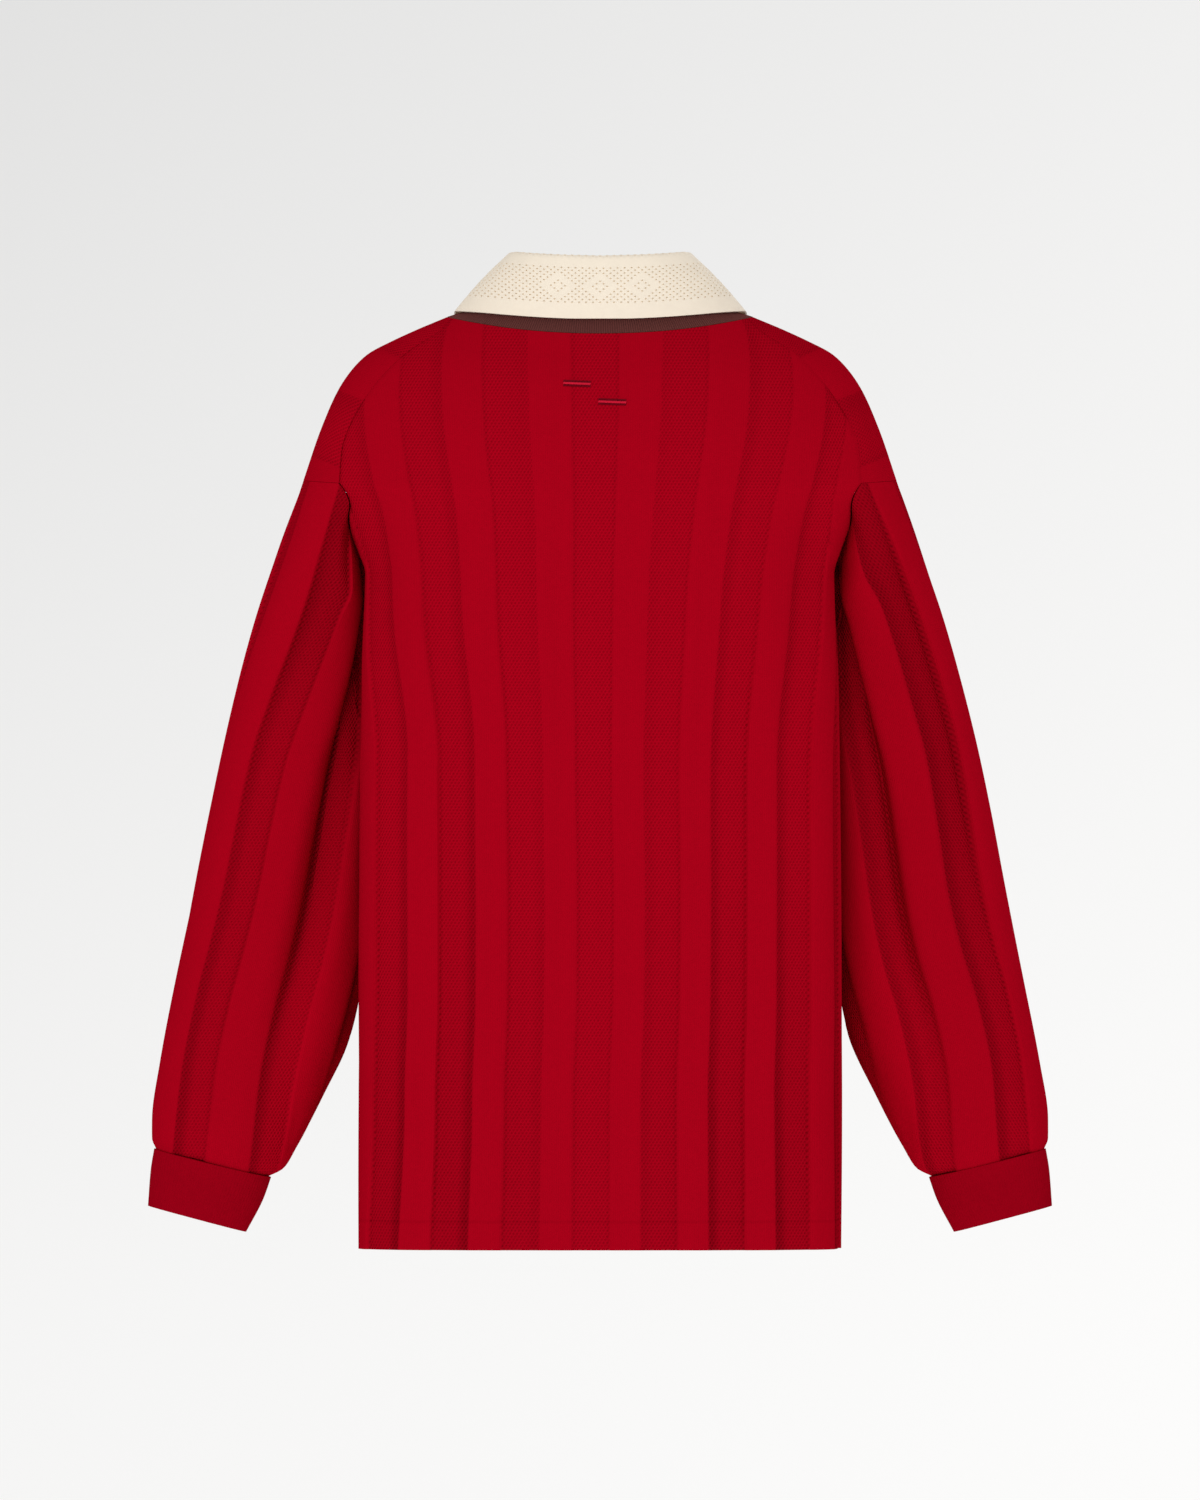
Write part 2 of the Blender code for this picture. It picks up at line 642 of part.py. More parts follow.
def collar(body):
    """The collar in one piece, from one front point round the back of the neck to the other."""
    last = COLLAR[-1].share
    shares = np.linspace(-last, last, COLLAR_COLUMNS + 1)
    read = {c: table_at(COLLAR, c, "share", abs(shares)) for c in CollarStation._fields}
    folds = np.stack([read["fold_x"] * np.sign(shares), read["fold_y"], read["fold_z"]], axis=1)
    columns = []
    for k, share in enumerate(shares):
        side = 1 if share >= 0 else -1
        base = neck_lines(body, [abs(share)], side)[0][0]
        edge = lifted_edge(body, read["edge_share"][k], read["edge_down"][k], side)
        along = unit(folds[min(k + 1, COLLAR_COLUMNS)] - folds[max(k - 1, 0)])
        columns.append(collar_profile(base, folds[k], edge, along))
    return grid_mesh("collar", np.array(columns).transpose(1, 0, 2))


def tack(row, panel):
    """A short bar of stitches that lies on the back panel."""
    surface = BVHTree.FromObject(panel, bpy.context.evaluated_depsgraph_get())
    grid = []
    for z_shift in (TACK_WIDTH / 2, -TACK_WIDTH / 2):
        line = []
        for share in np.linspace(0, 1, TACK_STEPS + 1):
            x = row.left_x + (row.right_x - row.left_x) * share
            z = row.z - row.tilt * share + z_shift
            hit = surface.ray_cast(Vector((x, -1.0, z)), Vector((0, 1, 0)))[0]
            line.append((x, hit.y - TACK_LIFT, z))
        grid.append(line)
    return grid_mesh(row.name, grid)


def main():
    for old in list(bpy.data.objects):
        bpy.data.objects.remove(old, do_unlink=True)
    jersey = bpy.data.collections.new("knit_football_jersey")
    bpy.context.scene.collection.children.link(jersey)
    body = Body()
    back = cloth("back", back_panel(body), KNIT_WALL, KNIT_RED, jersey)
    cloth("front", front_panel(body), KNIT_WALL, KNIT_RED, jersey)
    for side, word in ((-1, "left"), (1, "right")):
        cloth(f"sleeve_{word}", sleeve(f"sleeve_{word}", body, side), KNIT_WALL, KNIT_RED, jersey)
        cloth(f"cuff_{word}", cuff(f"cuff_{word}", side), RIB_WALL, RIB_RED, jersey)
    cloth("neckband", neckband(body), RIB_WALL, BAND_BROWN, jersey)
    cloth("collar", collar(body), COLLAR_WALL, COLLAR_CREAM, jersey)
    for row in TACKS:
        cloth(row.name, tack(row, back), TACK_THICK, TACK_RED, jersey, offset=1.0)


main()
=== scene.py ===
# %% [markdown]
# # Knit football jersey
# A long-sleeved football jersey, seen from behind and filled out as if worn. Its knit alternates smooth ribs
# with moss ribs, the neck has a dark ribbed band under a cream openwork collar, and fine ribs close the
# sleeves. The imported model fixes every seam, so this script lays finer cloth on the same forms and dyes it.

# %% Setup
import math
from collections import namedtuple

import bpy
import numpy as np
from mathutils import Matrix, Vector
from mathutils.bvhtree import BVHTree

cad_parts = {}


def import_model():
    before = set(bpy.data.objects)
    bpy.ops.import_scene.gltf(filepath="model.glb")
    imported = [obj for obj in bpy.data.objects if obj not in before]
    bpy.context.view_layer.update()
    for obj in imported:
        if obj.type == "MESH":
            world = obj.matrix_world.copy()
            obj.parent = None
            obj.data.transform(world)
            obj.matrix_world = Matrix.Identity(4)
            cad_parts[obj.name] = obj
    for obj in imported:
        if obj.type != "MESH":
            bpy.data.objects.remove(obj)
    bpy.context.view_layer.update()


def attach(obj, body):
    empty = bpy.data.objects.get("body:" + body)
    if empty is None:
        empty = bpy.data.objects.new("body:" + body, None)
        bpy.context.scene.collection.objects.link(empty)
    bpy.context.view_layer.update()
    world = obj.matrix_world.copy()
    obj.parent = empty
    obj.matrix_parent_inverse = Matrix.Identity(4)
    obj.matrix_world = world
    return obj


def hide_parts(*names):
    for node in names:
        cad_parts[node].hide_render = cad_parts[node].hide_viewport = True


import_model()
SIDES = ((-1, "left"), (1, "right"))

# %% [markdown]
# ## The cut
# A jersey is knitted in panels: a back, a front that runs over the shoulders, two sleeves with cuffs, a
# neckband and a collar. Short tables give the sections of the form that all the panels share, in metres. The
# back faces -Y, the wearer's left is -X, and the origin is the middle of the neck, level with its two sides.

# %% Seams and walls
KNIT_WALL = 0.0020
RIB_WALL = 0.0018
COLLAR_WALL = 0.0012
SEAM_GAP = 0.0003
DROP_SEAM_Z = -0.130
ARMPIT_Z = -0.2035
HEM_Z = -0.738
SIDE_SEAM_Y = 0.000
BACK_CORNER_X = 0.2065
FRONT_CORNER_X = 0.2000
BACK_ARMHOLE_BOW = 1.7
FRONT_ARMHOLE_BOW = 1.6
STRIPES_TO_SIDE = 10.5
SECTION_POINTS = 160
PROBE = 0.004

# %% Body sections, from the neckline to the hem
Section = namedtuple(
    "Section", "side_z back_z front_z half_width wide_y back_y front_y back_power front_power"
)
BODY_SECTIONS = [
    Section(0.0000, -0.0147, -0.085, 0.1220, -0.004, -0.070, 0.070, 2.1, 2.0),
    Section(-0.0095, -0.0285, -0.094, 0.1445, -0.007, -0.079, 0.075, 2.1, 2.1),
    Section(-0.0198, -0.0420, -0.102, 0.1667, -0.010, -0.088, 0.080, 2.2, 2.1),
    Section(-0.0300, -0.0550, -0.109, 0.1850, -0.013, -0.095, 0.084, 2.2, 2.2),
    Section(-0.0523, -0.0760, -0.121, 0.2043, -0.017, -0.103, 0.089, 2.3, 2.2),
    Section(-0.0870, -0.1030, -0.135, 0.2205, -0.020, -0.111, 0.094, 2.4, 2.3),
    Section(DROP_SEAM_Z, -0.1380, -0.152, 0.2352, -0.023, -0.116, 0.099, 2.5, 2.4),
    Section(-0.1500, -0.1540, -0.164, 0.2110, -0.027, -0.1165, 0.102, 2.6, 2.4),
    Section(-0.1700, -0.1710, -0.178, 0.1985, -0.031, -0.117, 0.105, 2.7, 2.5),
    Section(-0.1900, -0.1900, -0.192, 0.1895, -0.035, -0.117, 0.107, 2.9, 2.5),
    Section(ARMPIT_Z, ARMPIT_Z, ARMPIT_Z, 0.1850, -0.038, -0.117, 0.108, 3.0, 2.4),
    Section(-0.285, -0.285, -0.285, 0.1875, -0.041, -0.115, 0.110, 3.3, 2.4),
    Section(-0.450, -0.450, -0.450, 0.1895, -0.041, -0.108, 0.106, 3.5, 2.5),
    Section(-0.600, -0.600, -0.600, 0.1900, -0.041, -0.104, 0.103, 3.6, 2.6),
    Section(HEM_Z, HEM_Z, HEM_Z, 0.1900, -0.041, -0.103, 0.102, 3.6, 2.6),
]
SeamPoint = namedtuple("SeamPoint", "z x")
SHOULDER_SEAM = [
    SeamPoint(-0.138, BACK_CORNER_X + 0.0005),
    SeamPoint(-0.105, 0.2045),
    SeamPoint(-0.085, 0.1975),
    SeamPoint(-0.066, 0.1865),
    SeamPoint(-0.050, 0.1745),
    SeamPoint(-0.028, 0.1520),
    SeamPoint(-0.011, 0.1270),
    SeamPoint(0.000, 0.1170),
]

# %% Sleeve and cuff rings, from the armhole to the hand
Ring = namedtuple("Ring", "outer_x outer_z inner_x inner_z mid_y reach power")
SLEEVE_RINGS = [
    Ring(0.2490, -0.1680, 0.1859, -0.2260, 0.008, 0.064, 2.4),
    Ring(0.2590, -0.1980, 0.1853, -0.2520, 0.016, 0.060, 2.6),
    Ring(0.2720, -0.2380, 0.1846, -0.2860, 0.023, 0.056, 2.8),
    Ring(0.2978, -0.3360, 0.1844, -0.3750, 0.030, 0.052, 3.0),
    Ring(0.3205, -0.4450, 0.1857, -0.4850, 0.034, 0.049, 3.0),
    Ring(0.3375, -0.5320, 0.1970, -0.5650, 0.033, 0.046, 2.9),
    Ring(0.3490, -0.5930, 0.2210, -0.6180, 0.033, 0.044, 2.8),
    Ring(0.3560, -0.6370, 0.2420, -0.6600, 0.033, 0.041, 2.6),
    Ring(0.3562, -0.6530, 0.2525, -0.6770, 0.033, 0.037, 2.4),
    Ring(0.3530, -0.6613, 0.2640, -0.6830, 0.033, 0.033, 2.3),
]
CUFF_RINGS = [
    Ring(0.3531, -0.6616, 0.2641, -0.6833, 0.033, 0.033, 2.3),
    Ring(0.3558, -0.6780, 0.2700, -0.7000, 0.033, 0.029, 2.3),
    Ring(0.3580, -0.7068, 0.2838, -0.7265, 0.032, 0.028, 2.3),
]

# %% [markdown]
# ## Reading the tables
# Between two rows of a table the form has to run smoothly without swelling past either of them, so the values
# are joined by a cubic whose slopes are limited. The same curve joins whole rings of points.

# %% Curves through tables
def smooth(knots, values, at):
    """A curve through values, or through rows of points, that never overshoots them."""
    knots, values, at = (np.asarray(v, float) for v in (knots, values, at))
    tail = (1,) * (values.ndim - 1)
    step = np.diff(knots).reshape(-1, *tail)
    slope = np.diff(values, axis=0) / step
    before, after = slope[:-1], slope[1:]
    w1, w2 = 2 * step[1:] + step[:-1], step[1:] + 2 * step[:-1]
    same = before * after > 0
    safe_before, safe_after = np.where(same, before, 1), np.where(same, after, 1)
    inner = np.where(same, (w1 + w2) / (w1 / safe_before + w2 / safe_after), 0)
    tangent = np.concatenate([slope[:1], inner, slope[-1:]])
    at = np.clip(at, knots[0], knots[-1])
    k = np.clip(np.searchsorted(knots, at, side="right") - 1, 0, len(knots) - 2)
    t = np.reshape((at - knots[k]) / np.diff(knots)[k], (*at.shape, *tail))
    span = step[k]
    return (
        values[k] * (1 + 2 * t) * (1 - t) ** 2
        + tangent[k] * span * t * (1 - t) ** 2
        + values[k + 1] * t**2 * (3 - 2 * t)
        + tangent[k + 1] * span * t**2 * (t - 1)
    )


def table_at(table, column, key, at):
    rows = sorted(table, key=lambda row: getattr(row, key))
    return smooth([getattr(r, key) for r in rows], [getattr(r, column) for r in rows], at)


def value_at(table, z):
    return table_at(table, "value", "z", z)


def ease(t):
    t = np.clip(t, 0.0, 1.0)
    return t * t * (3 - 2 * t)


def totals(steps):
    """Running totals, from 0."""
    return np.concatenate([[0], np.cumsum(steps)])


def spread(table, across, down, step):
    """The table with rows worked out between its own, about a step apart along its outer line."""
    columns = table[0]._fields
    x = np.array([getattr(r, across) for r in table])
    z = np.array([getattr(r, down) for r in table])
    along = totals(np.hypot(np.diff(x), np.diff(z)))
    places = [0.0]
    for start, end in zip(along[:-1], along[1:]):
        count = max(1, round((end - start) / step))
        places += list(start + (end - start) * np.arange(1, count + 1) / count)
    read = {c: smooth(along, [getattr(r, c) for r in table], places) for c in columns}
    return [type(table[0])(*(read[c][i] for c in columns)) for i in range(len(places))]


def unit(v):
    return v / np.linalg.norm(v, axis=-1, keepdims=True)


def lengths(points):
    return totals(np.linalg.norm(np.diff(points, axis=0), axis=1))


def along_line(points, places):
    run = lengths(points)
    return np.stack([np.interp(places, run, points[:, k]) for k in range(3)], axis=1)


def first_at(run, test):
    """The distance at which the test value first turns from negative to positive."""
    k = int(np.argmax(test >= 0))
    if k == 0:
        return run[0]
    share = test[k - 1] / (test[k - 1] - test[k])
    return run[k - 1] + share * (run[k] - run[k - 1])


def quarter(power):
    """A quarter of a squared-off ellipse, from (0, 1) to (1, 0)."""
    near = np.linspace(0, 0.5 ** (1 / power), SECTION_POINTS)
    far = (1 - near**power) ** (1 / power)
    return np.concatenate([near, far[::-1][1:]]), np.concatenate([far, near[::-1][1:]])


# %% [markdown]
# ## Ribs that stand out
# Two knit structures lie side by side. The smooth rib is plain stockinette: it curls forward, so it stands
# proud with a rounded crown. The moss rib beside it lies back, flat. Ribs are counted with a number that
# grows across the cloth, 0 in the middle of the back, and everything else on the panels follows that number.

# %% The rise of a rib
Stripes = namedtuple("Stripes", "first_smooth half pitch")
BODY_STRIPES = Stripes(first_smooth=1, half=0.465, pitch=0.0256)
SLEEVE_STRIPES = Stripes(first_smooth=0, half=0.56, pitch=0.0317)
SHARP_FLANK = 0.07
SOFT_FLANK = 0.17
SOFT_SHARE = 0.62
SOFT_REACH = 0.80
CROWN = 0.25
MIDDLE_RELIEF = 0.35
MIDDLE_REACH = 4
BODY_WAVER = 0.0004
SLEEVE_WAVER = 0.0006

At = namedtuple("At", "z value")
BODY_RELIEF = [
    At(HEM_Z, 0.0014), At(-0.60, 0.0018), At(-0.35, 0.0016), At(-0.22, 0.0013), At(-0.12, 0.0007),
    At(-0.06, 0.0003),
]
SLEEVE_RELIEF = [
    At(-0.66, 0.0007), At(-0.60, 0.0017), At(-0.30, 0.0020), At(-0.20, 0.0015), At(-0.14, 0.0005),
]
RIB_SPREAD = {
    -1: [
        At(HEM_Z, 1.10), At(-0.62, 1.06), At(-0.46, 1.065), At(-0.35, 1.05), At(-0.24, 1.16),
        At(-0.16, 1.24), At(-0.08, 1.38), At(-0.02, 1.43),
    ],
    1: [
        At(HEM_Z, 1.05), At(-0.62, 1.04), At(-0.46, 1.02), At(-0.35, 1.03), At(-0.24, 1.125),
        At(-0.16, 1.225), At(-0.08, 1.385), At(-0.02, 1.44),
    ],
}
STRIPE_SHIFT = [
    At(HEM_Z, 0.26), At(-0.62, 0.26), At(-0.54, 0.15), At(-0.46, 0.12), At(-0.35, 0.18),
    At(-0.24, 0.18), At(-0.16, 0.14), At(-0.08, 0.11),
]

# %% Ribs over the shoulder, and the ribs that crowd at the right seam of the back
WING_RIBS = [At(0.0, 3.465), At(-0.025, 4.535), At(-0.058, 5.465), At(-0.111, 6.535), At(-0.140, 7.3)]
WING_LEAN = 0.4
SEAM_GAIN = [At(-0.20, 0.0), At(-0.17, 0.2), At(-0.126, 0.8), At(-0.09, 0.8), At(-0.05, 0.5), At(0.0, 0.2)]
SEAM_GAIN_FROM = 4.9
SEAM_GAIN_REACH = 1.7

# %% Relief across a rib, and slow unevenness
def rib_rise(number, stripes, falls):
    """1 on the crown of a smooth rib, about -1 on a moss rib. The long flank is on side falls, 1 or -1."""
    past = ((number - stripes.first_smooth) * falls - stripes.half + 0.5) % 2 - 0.5
    moss_width = 2 - 2 * stripes.half
    steep = ease((past + SHARP_FLANK / 2) / SOFT_FLANK)
    down = SOFT_SHARE * steep + (1 - SOFT_SHARE) * ease(past / SOFT_REACH)
    up = ease((past - moss_width + SHARP_FLANK / 2) / SHARP_FLANK)
    from_middle = abs((number + 1 - stripes.first_smooth) % 2 - 1)
    return 1 - 2 * (down - up) - CROWN * np.clip(from_middle / stripes.half, 0, 1) ** 2


def waver(number, z, seed):
    """A slow unevenness of hand-hung cloth, between about -1 and 1."""
    return (
        np.sin(1.7 * number + 9.0 * z + seed)
        + np.sin(0.9 * number - 17.0 * z + 2.3 * seed)
        + np.sin(3.1 * number + 31.0 * z + 0.7 * seed)
    ) / 3


# %% [markdown]
# ## Folds
# Cloth that hangs from a shoulder falls in soft troughs that follow the ribs. A trough is round and even.
# A crease is lopsided: the cloth steps down sharply at a line and comes back gently on one side of it. Both
# taper out at their ends, so a table with a row per fold says where each starts, how deep it is and how far
# it runs.

# %% Troughs and creases
Fold = namedtuple("Fold", "line width depth top_z low_z")
Crease = namedtuple("Crease", "top_line low_line sharp gentle depth top_z low_z")
FOLD_TOP_SHARE = 0.25
FOLD_LOW_SHARE = 0.40
ROLL_POWER = 3.0
SPRING_SHARE = 0.35
SPRING_REACH = 0.13


def taper(fold, z):
    down = (fold.top_z - z) / (fold.top_z - fold.low_z)
    return ease(down / FOLD_TOP_SHARE) * ease((1 - down) / FOLD_LOW_SHARE)


def trough(fold, number, z):
    across = np.clip(abs(number - fold.line) / fold.width, 0, 1)
    return fold.depth * 0.5 * (1 + np.cos(math.pi * across)) * taper(fold, z)


def crease(fold, number, z):
    """A roll down of width sharp to the line, that comes back over gentle (negative: on the lower side)."""
    share = np.clip((fold.top_z - z) / (fold.top_z - fold.low_z), 0, 1)
    line = fold.top_line + (fold.low_line - fold.top_line) * share
    away = (number - line) * np.sign(fold.gentle)
    roll = np.clip(1 + away / fold.sharp, 0, 1) ** ROLL_POWER
    spring, rest = ease(away / SPRING_REACH), ease(away / abs(fold.gentle))
    return fold.depth * roll * (1 - SPRING_SHARE * spring - (1 - SPRING_SHARE) * rest) * taper(fold, z)


BACK_FOLDS = [
    Fold(-5.6, 0.8, 0.0035, -0.10, -0.40),
    Fold(5.7, 0.8, 0.0045, -0.11, -0.42),
    Fold(-4.0, 0.7, 0.0015, -0.20, -0.70),
    Fold(6.0, 0.7, 0.0020, -0.34, -0.73),
]
FRONT_FOLDS = [
    Fold(-6.2, 0.9, 0.0040, -0.12, -0.45),
    Fold(5.9, 0.8, 0.0035, -0.11, -0.38),
    Fold(-2.4, 0.8, 0.0015, -0.30, -0.70),
    Fold(3.6, 0.7, 0.0018, -0.24, -0.66),
]
SLEEVE_CREASES = {
    -1: [
        Crease(0.61, 0.61, 0.09, 0.9, 0.0036, -0.132, -0.44),
        Crease(2.66, 2.72, 0.75, 1.1, 0.0220, -0.15, -0.62),
        Crease(4.60, 4.50, 0.30, 0.9, 0.0040, -0.48, -0.66),
        Crease(-2.30, -2.10, 0.40, -1.4, 0.0070, -0.20, -0.60),
    ],
    1: [
        Crease(0.61, 0.61, 0.09, 0.9, 0.0040, -0.13, -0.50),
        Crease(1.44, 1.44, 0.20, -0.9, 0.0025, -0.20, -0.62),
        Crease(2.66, 2.70, 0.40, 1.1, 0.0150, -0.15, -0.62),
        Crease(4.50, 4.50, 0.30, 0.9, 0.0040, -0.40, -0.64),
        Crease(-2.50, -2.20, 0.40, -1.4, 0.0070, -0.22, -0.62),
    ],
}

# %% [markdown]
# ## The body form
# Every panel of the body is cut from one form: a stack of squared-off ellipses. A row of the form is a line
# of points from the middle of the back, round the side, to the middle of the front, and a seam is a distance
# along each row.

# %% The form and its seams
class Body:
    """Rows of section points and where the seams cross them."""

    def __init__(self, step):
        corner = [row.side_z for row in BODY_SECTIONS].index(DROP_SEAM_Z)
        halves = BODY_SECTIONS[: corner + 1], BODY_SECTIONS[corner:]
        above, below = (spread(half, "half_width", "side_z", step) for half in halves)
        self.rows = above + below[1:]
        self.lines = [self.half_section(row) for row in self.rows]
        self.runs = [lengths(line) for line in self.lines]
        side_z = np.array([row.side_z for row in self.rows])
        self.drop = int(np.argmin(abs(side_z - DROP_SEAM_Z)))
        self.armpit = int(np.argmin(abs(side_z - ARMPIT_Z)))
        self.back_edge = [self.find_back_edge(i) for i in range(len(self.rows))]
        self.front_edge = [self.find_front_edge(i) for i in range(len(self.rows))]

    @staticmethod
    def half_section(row):
        out, back = quarter(row.back_power)
        front_out, front = quarter(row.front_power)
        out = np.concatenate([out, front_out[::-1][1:]])
        front = front[::-1][1:]
        x = row.half_width * out
        behind, ahead = (row.back_y - row.wide_y) * back, (row.front_y - row.wide_y) * front
        back_drop, front_drop = (row.back_z - row.side_z) * back**2, (row.front_z - row.side_z) * front**2
        y = row.wide_y + np.concatenate([behind, ahead])
        z = row.side_z + np.concatenate([back_drop, front_drop])
        return np.stack([x, y, z], axis=1)

    def at_depth(self, i, y):
        return first_at(self.runs[i], self.lines[i][:, 1] - y)

    def outer_place(self, i):
        return self.at_depth(i, self.rows[i].wide_y)

    def shoulder_seam_place(self, i):
        line = self.lines[i]
        seam_x = table_at(SHOULDER_SEAM, "x", "z", line[:, 2])
        return min(first_at(self.runs[i], line[:, 0] - seam_x), self.outer_place(i))

    def low_edge(self, i, corner, bow):
        """Where a seam crosses a row: down the armhole from a corner on the drop seam, then down the side."""
        if i >= self.armpit:
            return self.at_depth(i, SIDE_SEAM_Y)
        corner_y = float(np.interp(corner, self.runs[self.drop], self.lines[self.drop][:, 1]))
        top, low = self.rows[self.drop].side_z, self.rows[self.armpit].side_z
        share = ((self.rows[i].side_z - top) / (low - top)) ** bow
        return self.at_depth(i, corner_y + (SIDE_SEAM_Y - corner_y) * share)

    def find_back_edge(self, i):
        if i <= self.drop:
            return self.shoulder_seam_place(i)
        return self.low_edge(i, self.shoulder_seam_place(self.drop), BACK_ARMHOLE_BOW)

    def find_front_edge(self, i):
        line, run = self.lines[self.drop], self.runs[self.drop]
        backwards = run[-1] - run[::-1]
        corner = run[-1] - first_at(backwards, line[::-1, 0] - FRONT_CORNER_X)
        if i <= self.drop:
            return self.runs[i][-1] * corner / run[-1]
        return self.low_edge(i, corner, FRONT_ARMHOLE_BOW)

    def ribs_at(self, i, places, side, front):
        """The rib number at places on a row, counted from the middle of the back or of the front."""
        low = max(i, self.armpit)
        seam, end = self.at_depth(low, SIDE_SEAM_Y), self.runs[low][-1]
        times = value_at(RIB_SPREAD[side], self.rows[i].back_z)
        if front:
            level = (self.runs[i][-1] - places) * STRIPES_TO_SIDE / ((end - seam) * times)
            return self.over_shoulder(i, places, level) if i <= self.drop else level
        level = places * STRIPES_TO_SIDE / (seam * times)
        if side < 0:
            return level
        gain = value_at(SEAM_GAIN, self.rows[i].back_z)
        return level + gain * ease((level - SEAM_GAIN_FROM) / SEAM_GAIN_REACH)

    def past_shoulder(self, i, places):
        """0 on the wing behind the shoulder's outer line, 1 where the level part of the front begins."""
        outer, edge = self.outer_place(i), self.front_edge[i]
        return ease((places - outer) / (edge - outer))

    def wing_height(self, i, places):
        """How high on the shoulder's outer line a spot of the wing belongs: its ribs cross it at a slant."""
        spots = along_line(self.lines[i], places)
        return spots[:, 2] + WING_LEAN * (self.rows[i].half_width - spots[:, 0])

    def over_shoulder(self, i, places, level):
        wing = value_at(WING_RIBS, self.wing_height(i, places))
        return wing + (level - wing) * self.past_shoulder(i, places)

    def stitches_at(self, i, places, side, front):
        """Metres across and along the stitches, for the texture of the knit."""
        down = -along_line(self.lines[i], places)[:, 2]
        if not front:
            return np.stack([side * places, down], axis=1)
        across = self.runs[i][-1] - places
        if i <= self.drop:
            outline = lengths(np.array([[row.half_width, 0, row.side_z] for row in self.rows]))
            run = np.interp(-self.wing_height(i, places), [-row.side_z for row in self.rows], outline)
            share = self.past_shoulder(i, places)
            across, down = run + (across - run) * share, places + (down - places) * share
        return np.stack([side * across, down], axis=1)

    def stripe_shift(self, i, front):
        """How far the ribs of the back stand to the right of the middle, in ribs."""
        return 0.0 if front else float(value_at(STRIPE_SHIFT, self.rows[i].back_z))

    def outward(self, i, places):
        tangent = along_line(self.lines[i], places + PROBE) - along_line(self.lines[i], places - PROBE)
        return unit(np.stack([tangent[:, 1], -tangent[:, 0], 0 * tangent[:, 0]], axis=1))

    def points(self, i, places, side, front=False):
        """Cloth at these distances from the middle of the back, with ribs and folds, and its rib numbers."""
        places = np.asarray(places, float)
        found = along_line(self.lines[i], places)
        ribs = self.ribs_at(i, places, side, front)
        number = side * ribs + self.stripe_shift(i, front)
        rise = self.relief(number, ribs, found[:, 2], front)
        if front and i <= self.drop:
            rise = rise * self.past_shoulder(i, places)
        if i >= self.armpit:
            seam = self.front_edge[i] if front else self.back_edge[i]
            rise = rise * ease(abs(places - seam) / SIDE_SEAM_REACH)
        found += self.outward(i, places) * rise[:, None]
        found[:, 0] *= side
        return found, number

    @staticmethod
    def relief(number, ribs, z, front):
        fade = ease(STRIPES_TO_SIDE - ribs)
        height = value_at(BODY_RELIEF, z)
        height = height * (MIDDLE_RELIEF + (1 - MIDDLE_RELIEF) * ease((abs(number) - 0.5) / MIDDLE_REACH))
        out = height * rib_rise(number, BODY_STRIPES, np.where(number < 0, -1, 1)) * fade
        out = out + BODY_WAVER * waver(number, z, 1.0 + front) * fade
        for fold in FRONT_FOLDS if front else BACK_FOLDS:
            out = out - trough(fold, number, z)
        return out


SIDE_SEAM_REACH = 0.015
ROW_STEP = 0.0045
body = Body(ROW_STEP)
print("body rows", len(body.rows), "drop seam row", body.drop, "armpit row", body.armpit)

# %% [markdown]
# ## From rows of points to cloth
# A grid of points becomes quads, and UV maps carry numbers to the material: one says how many ribs across and
# how many metres down, the other how many metres across and along the stitches. Solidify gives the surface
# its wall, inward from the outer face, and the edge of the wall stays sharp.

# %% Meshes from grids
def grid_mesh(name, grid, uv, keep=None, closed=False, knit_uv=None):
    """Quads from rows of points. The maps have one column more than the grid where the rows are closed."""
    grid = np.asarray(grid, float)
    rows, columns = grid.shape[:2]
    i, j = np.meshgrid(np.arange(rows - 1), np.arange(columns - (not closed)), indexing="ij")
    if keep is not None:
        i, j = i[keep(i, j)], j[keep(i, j)]
    i, j = i.ravel(), j.ravel()
    corners = ((i, j), (i + 1, j), (i + 1, j + 1), (i, j + 1))
    quads = np.stack([a * columns + b % columns for a, b in corners], axis=1)
    used, quads = np.unique(quads, return_inverse=True)
    quads = quads.reshape(-1, 4)
    mesh = bpy.data.meshes.new(name)
    mesh.from_pydata(grid.reshape(-1, 3)[used].tolist(), [], quads.tolist())
    for label, flat in (("cloth", uv), ("stitches", knit_uv)):
        if flat is not None:
            layer = mesh.uv_layers.new(name=label)
            loops = np.stack([np.asarray(flat)[a, b] for a, b in corners], axis=1)
            layer.data.foreach_set("uv", loops.ravel())
    return mesh, used


def mark(mesh, label, kind, values, domain="POINT"):
    """Writes an attribute that geometry nodes or a material read by its label."""
    layer = mesh.attributes.new(label, kind, domain)
    layer.data.foreach_set("vector" if kind == "FLOAT_VECTOR" else "value", np.ravel(values))


def flipped(mesh):
    mesh.flip_normals()
    return mesh


def settle(piece):
    """Replaces a piece's mesh by what its modifiers make of it."""
    depsgraph = bpy.context.evaluated_depsgraph_get()
    made = bpy.data.meshes.new_from_object(piece.evaluated_get(depsgraph))
    made.name = piece.name
    piece.modifiers.clear()
    piece.data = made
    return piece


SHARP_EDGE = math.radians(50)


def placed(name, data):
    """A new object in the scene."""
    made = bpy.data.objects.new(name, data)
    bpy.context.scene.collection.objects.link(made)
    return made


def walled(piece, wall):
    if wall:
        thick = piece.modifiers.new("wall", "SOLIDIFY")
        thick.thickness = wall
        thick.offset = -1.0
        settle(piece)
    piece.data.shade_smooth()
    piece.data.set_sharp_from_angle(angle=SHARP_EDGE)
    print(piece.name, len(piece.data.polygons), "faces")
    return piece


def cloth(name, mesh, wall, material):
    """A piece of cloth: the mesh is its outer face."""
    mesh.materials.clear()
    mesh.materials.append(material)
    return walled(placed(name, mesh), wall)


# %% [markdown]
# ## Node trees in Python
# Materials and geometry nodes are long chains of small sums. Wrapping a socket in a class whose operators add
# Math nodes lets the sums be written as plain expressions, and one method adds every other kind of node.

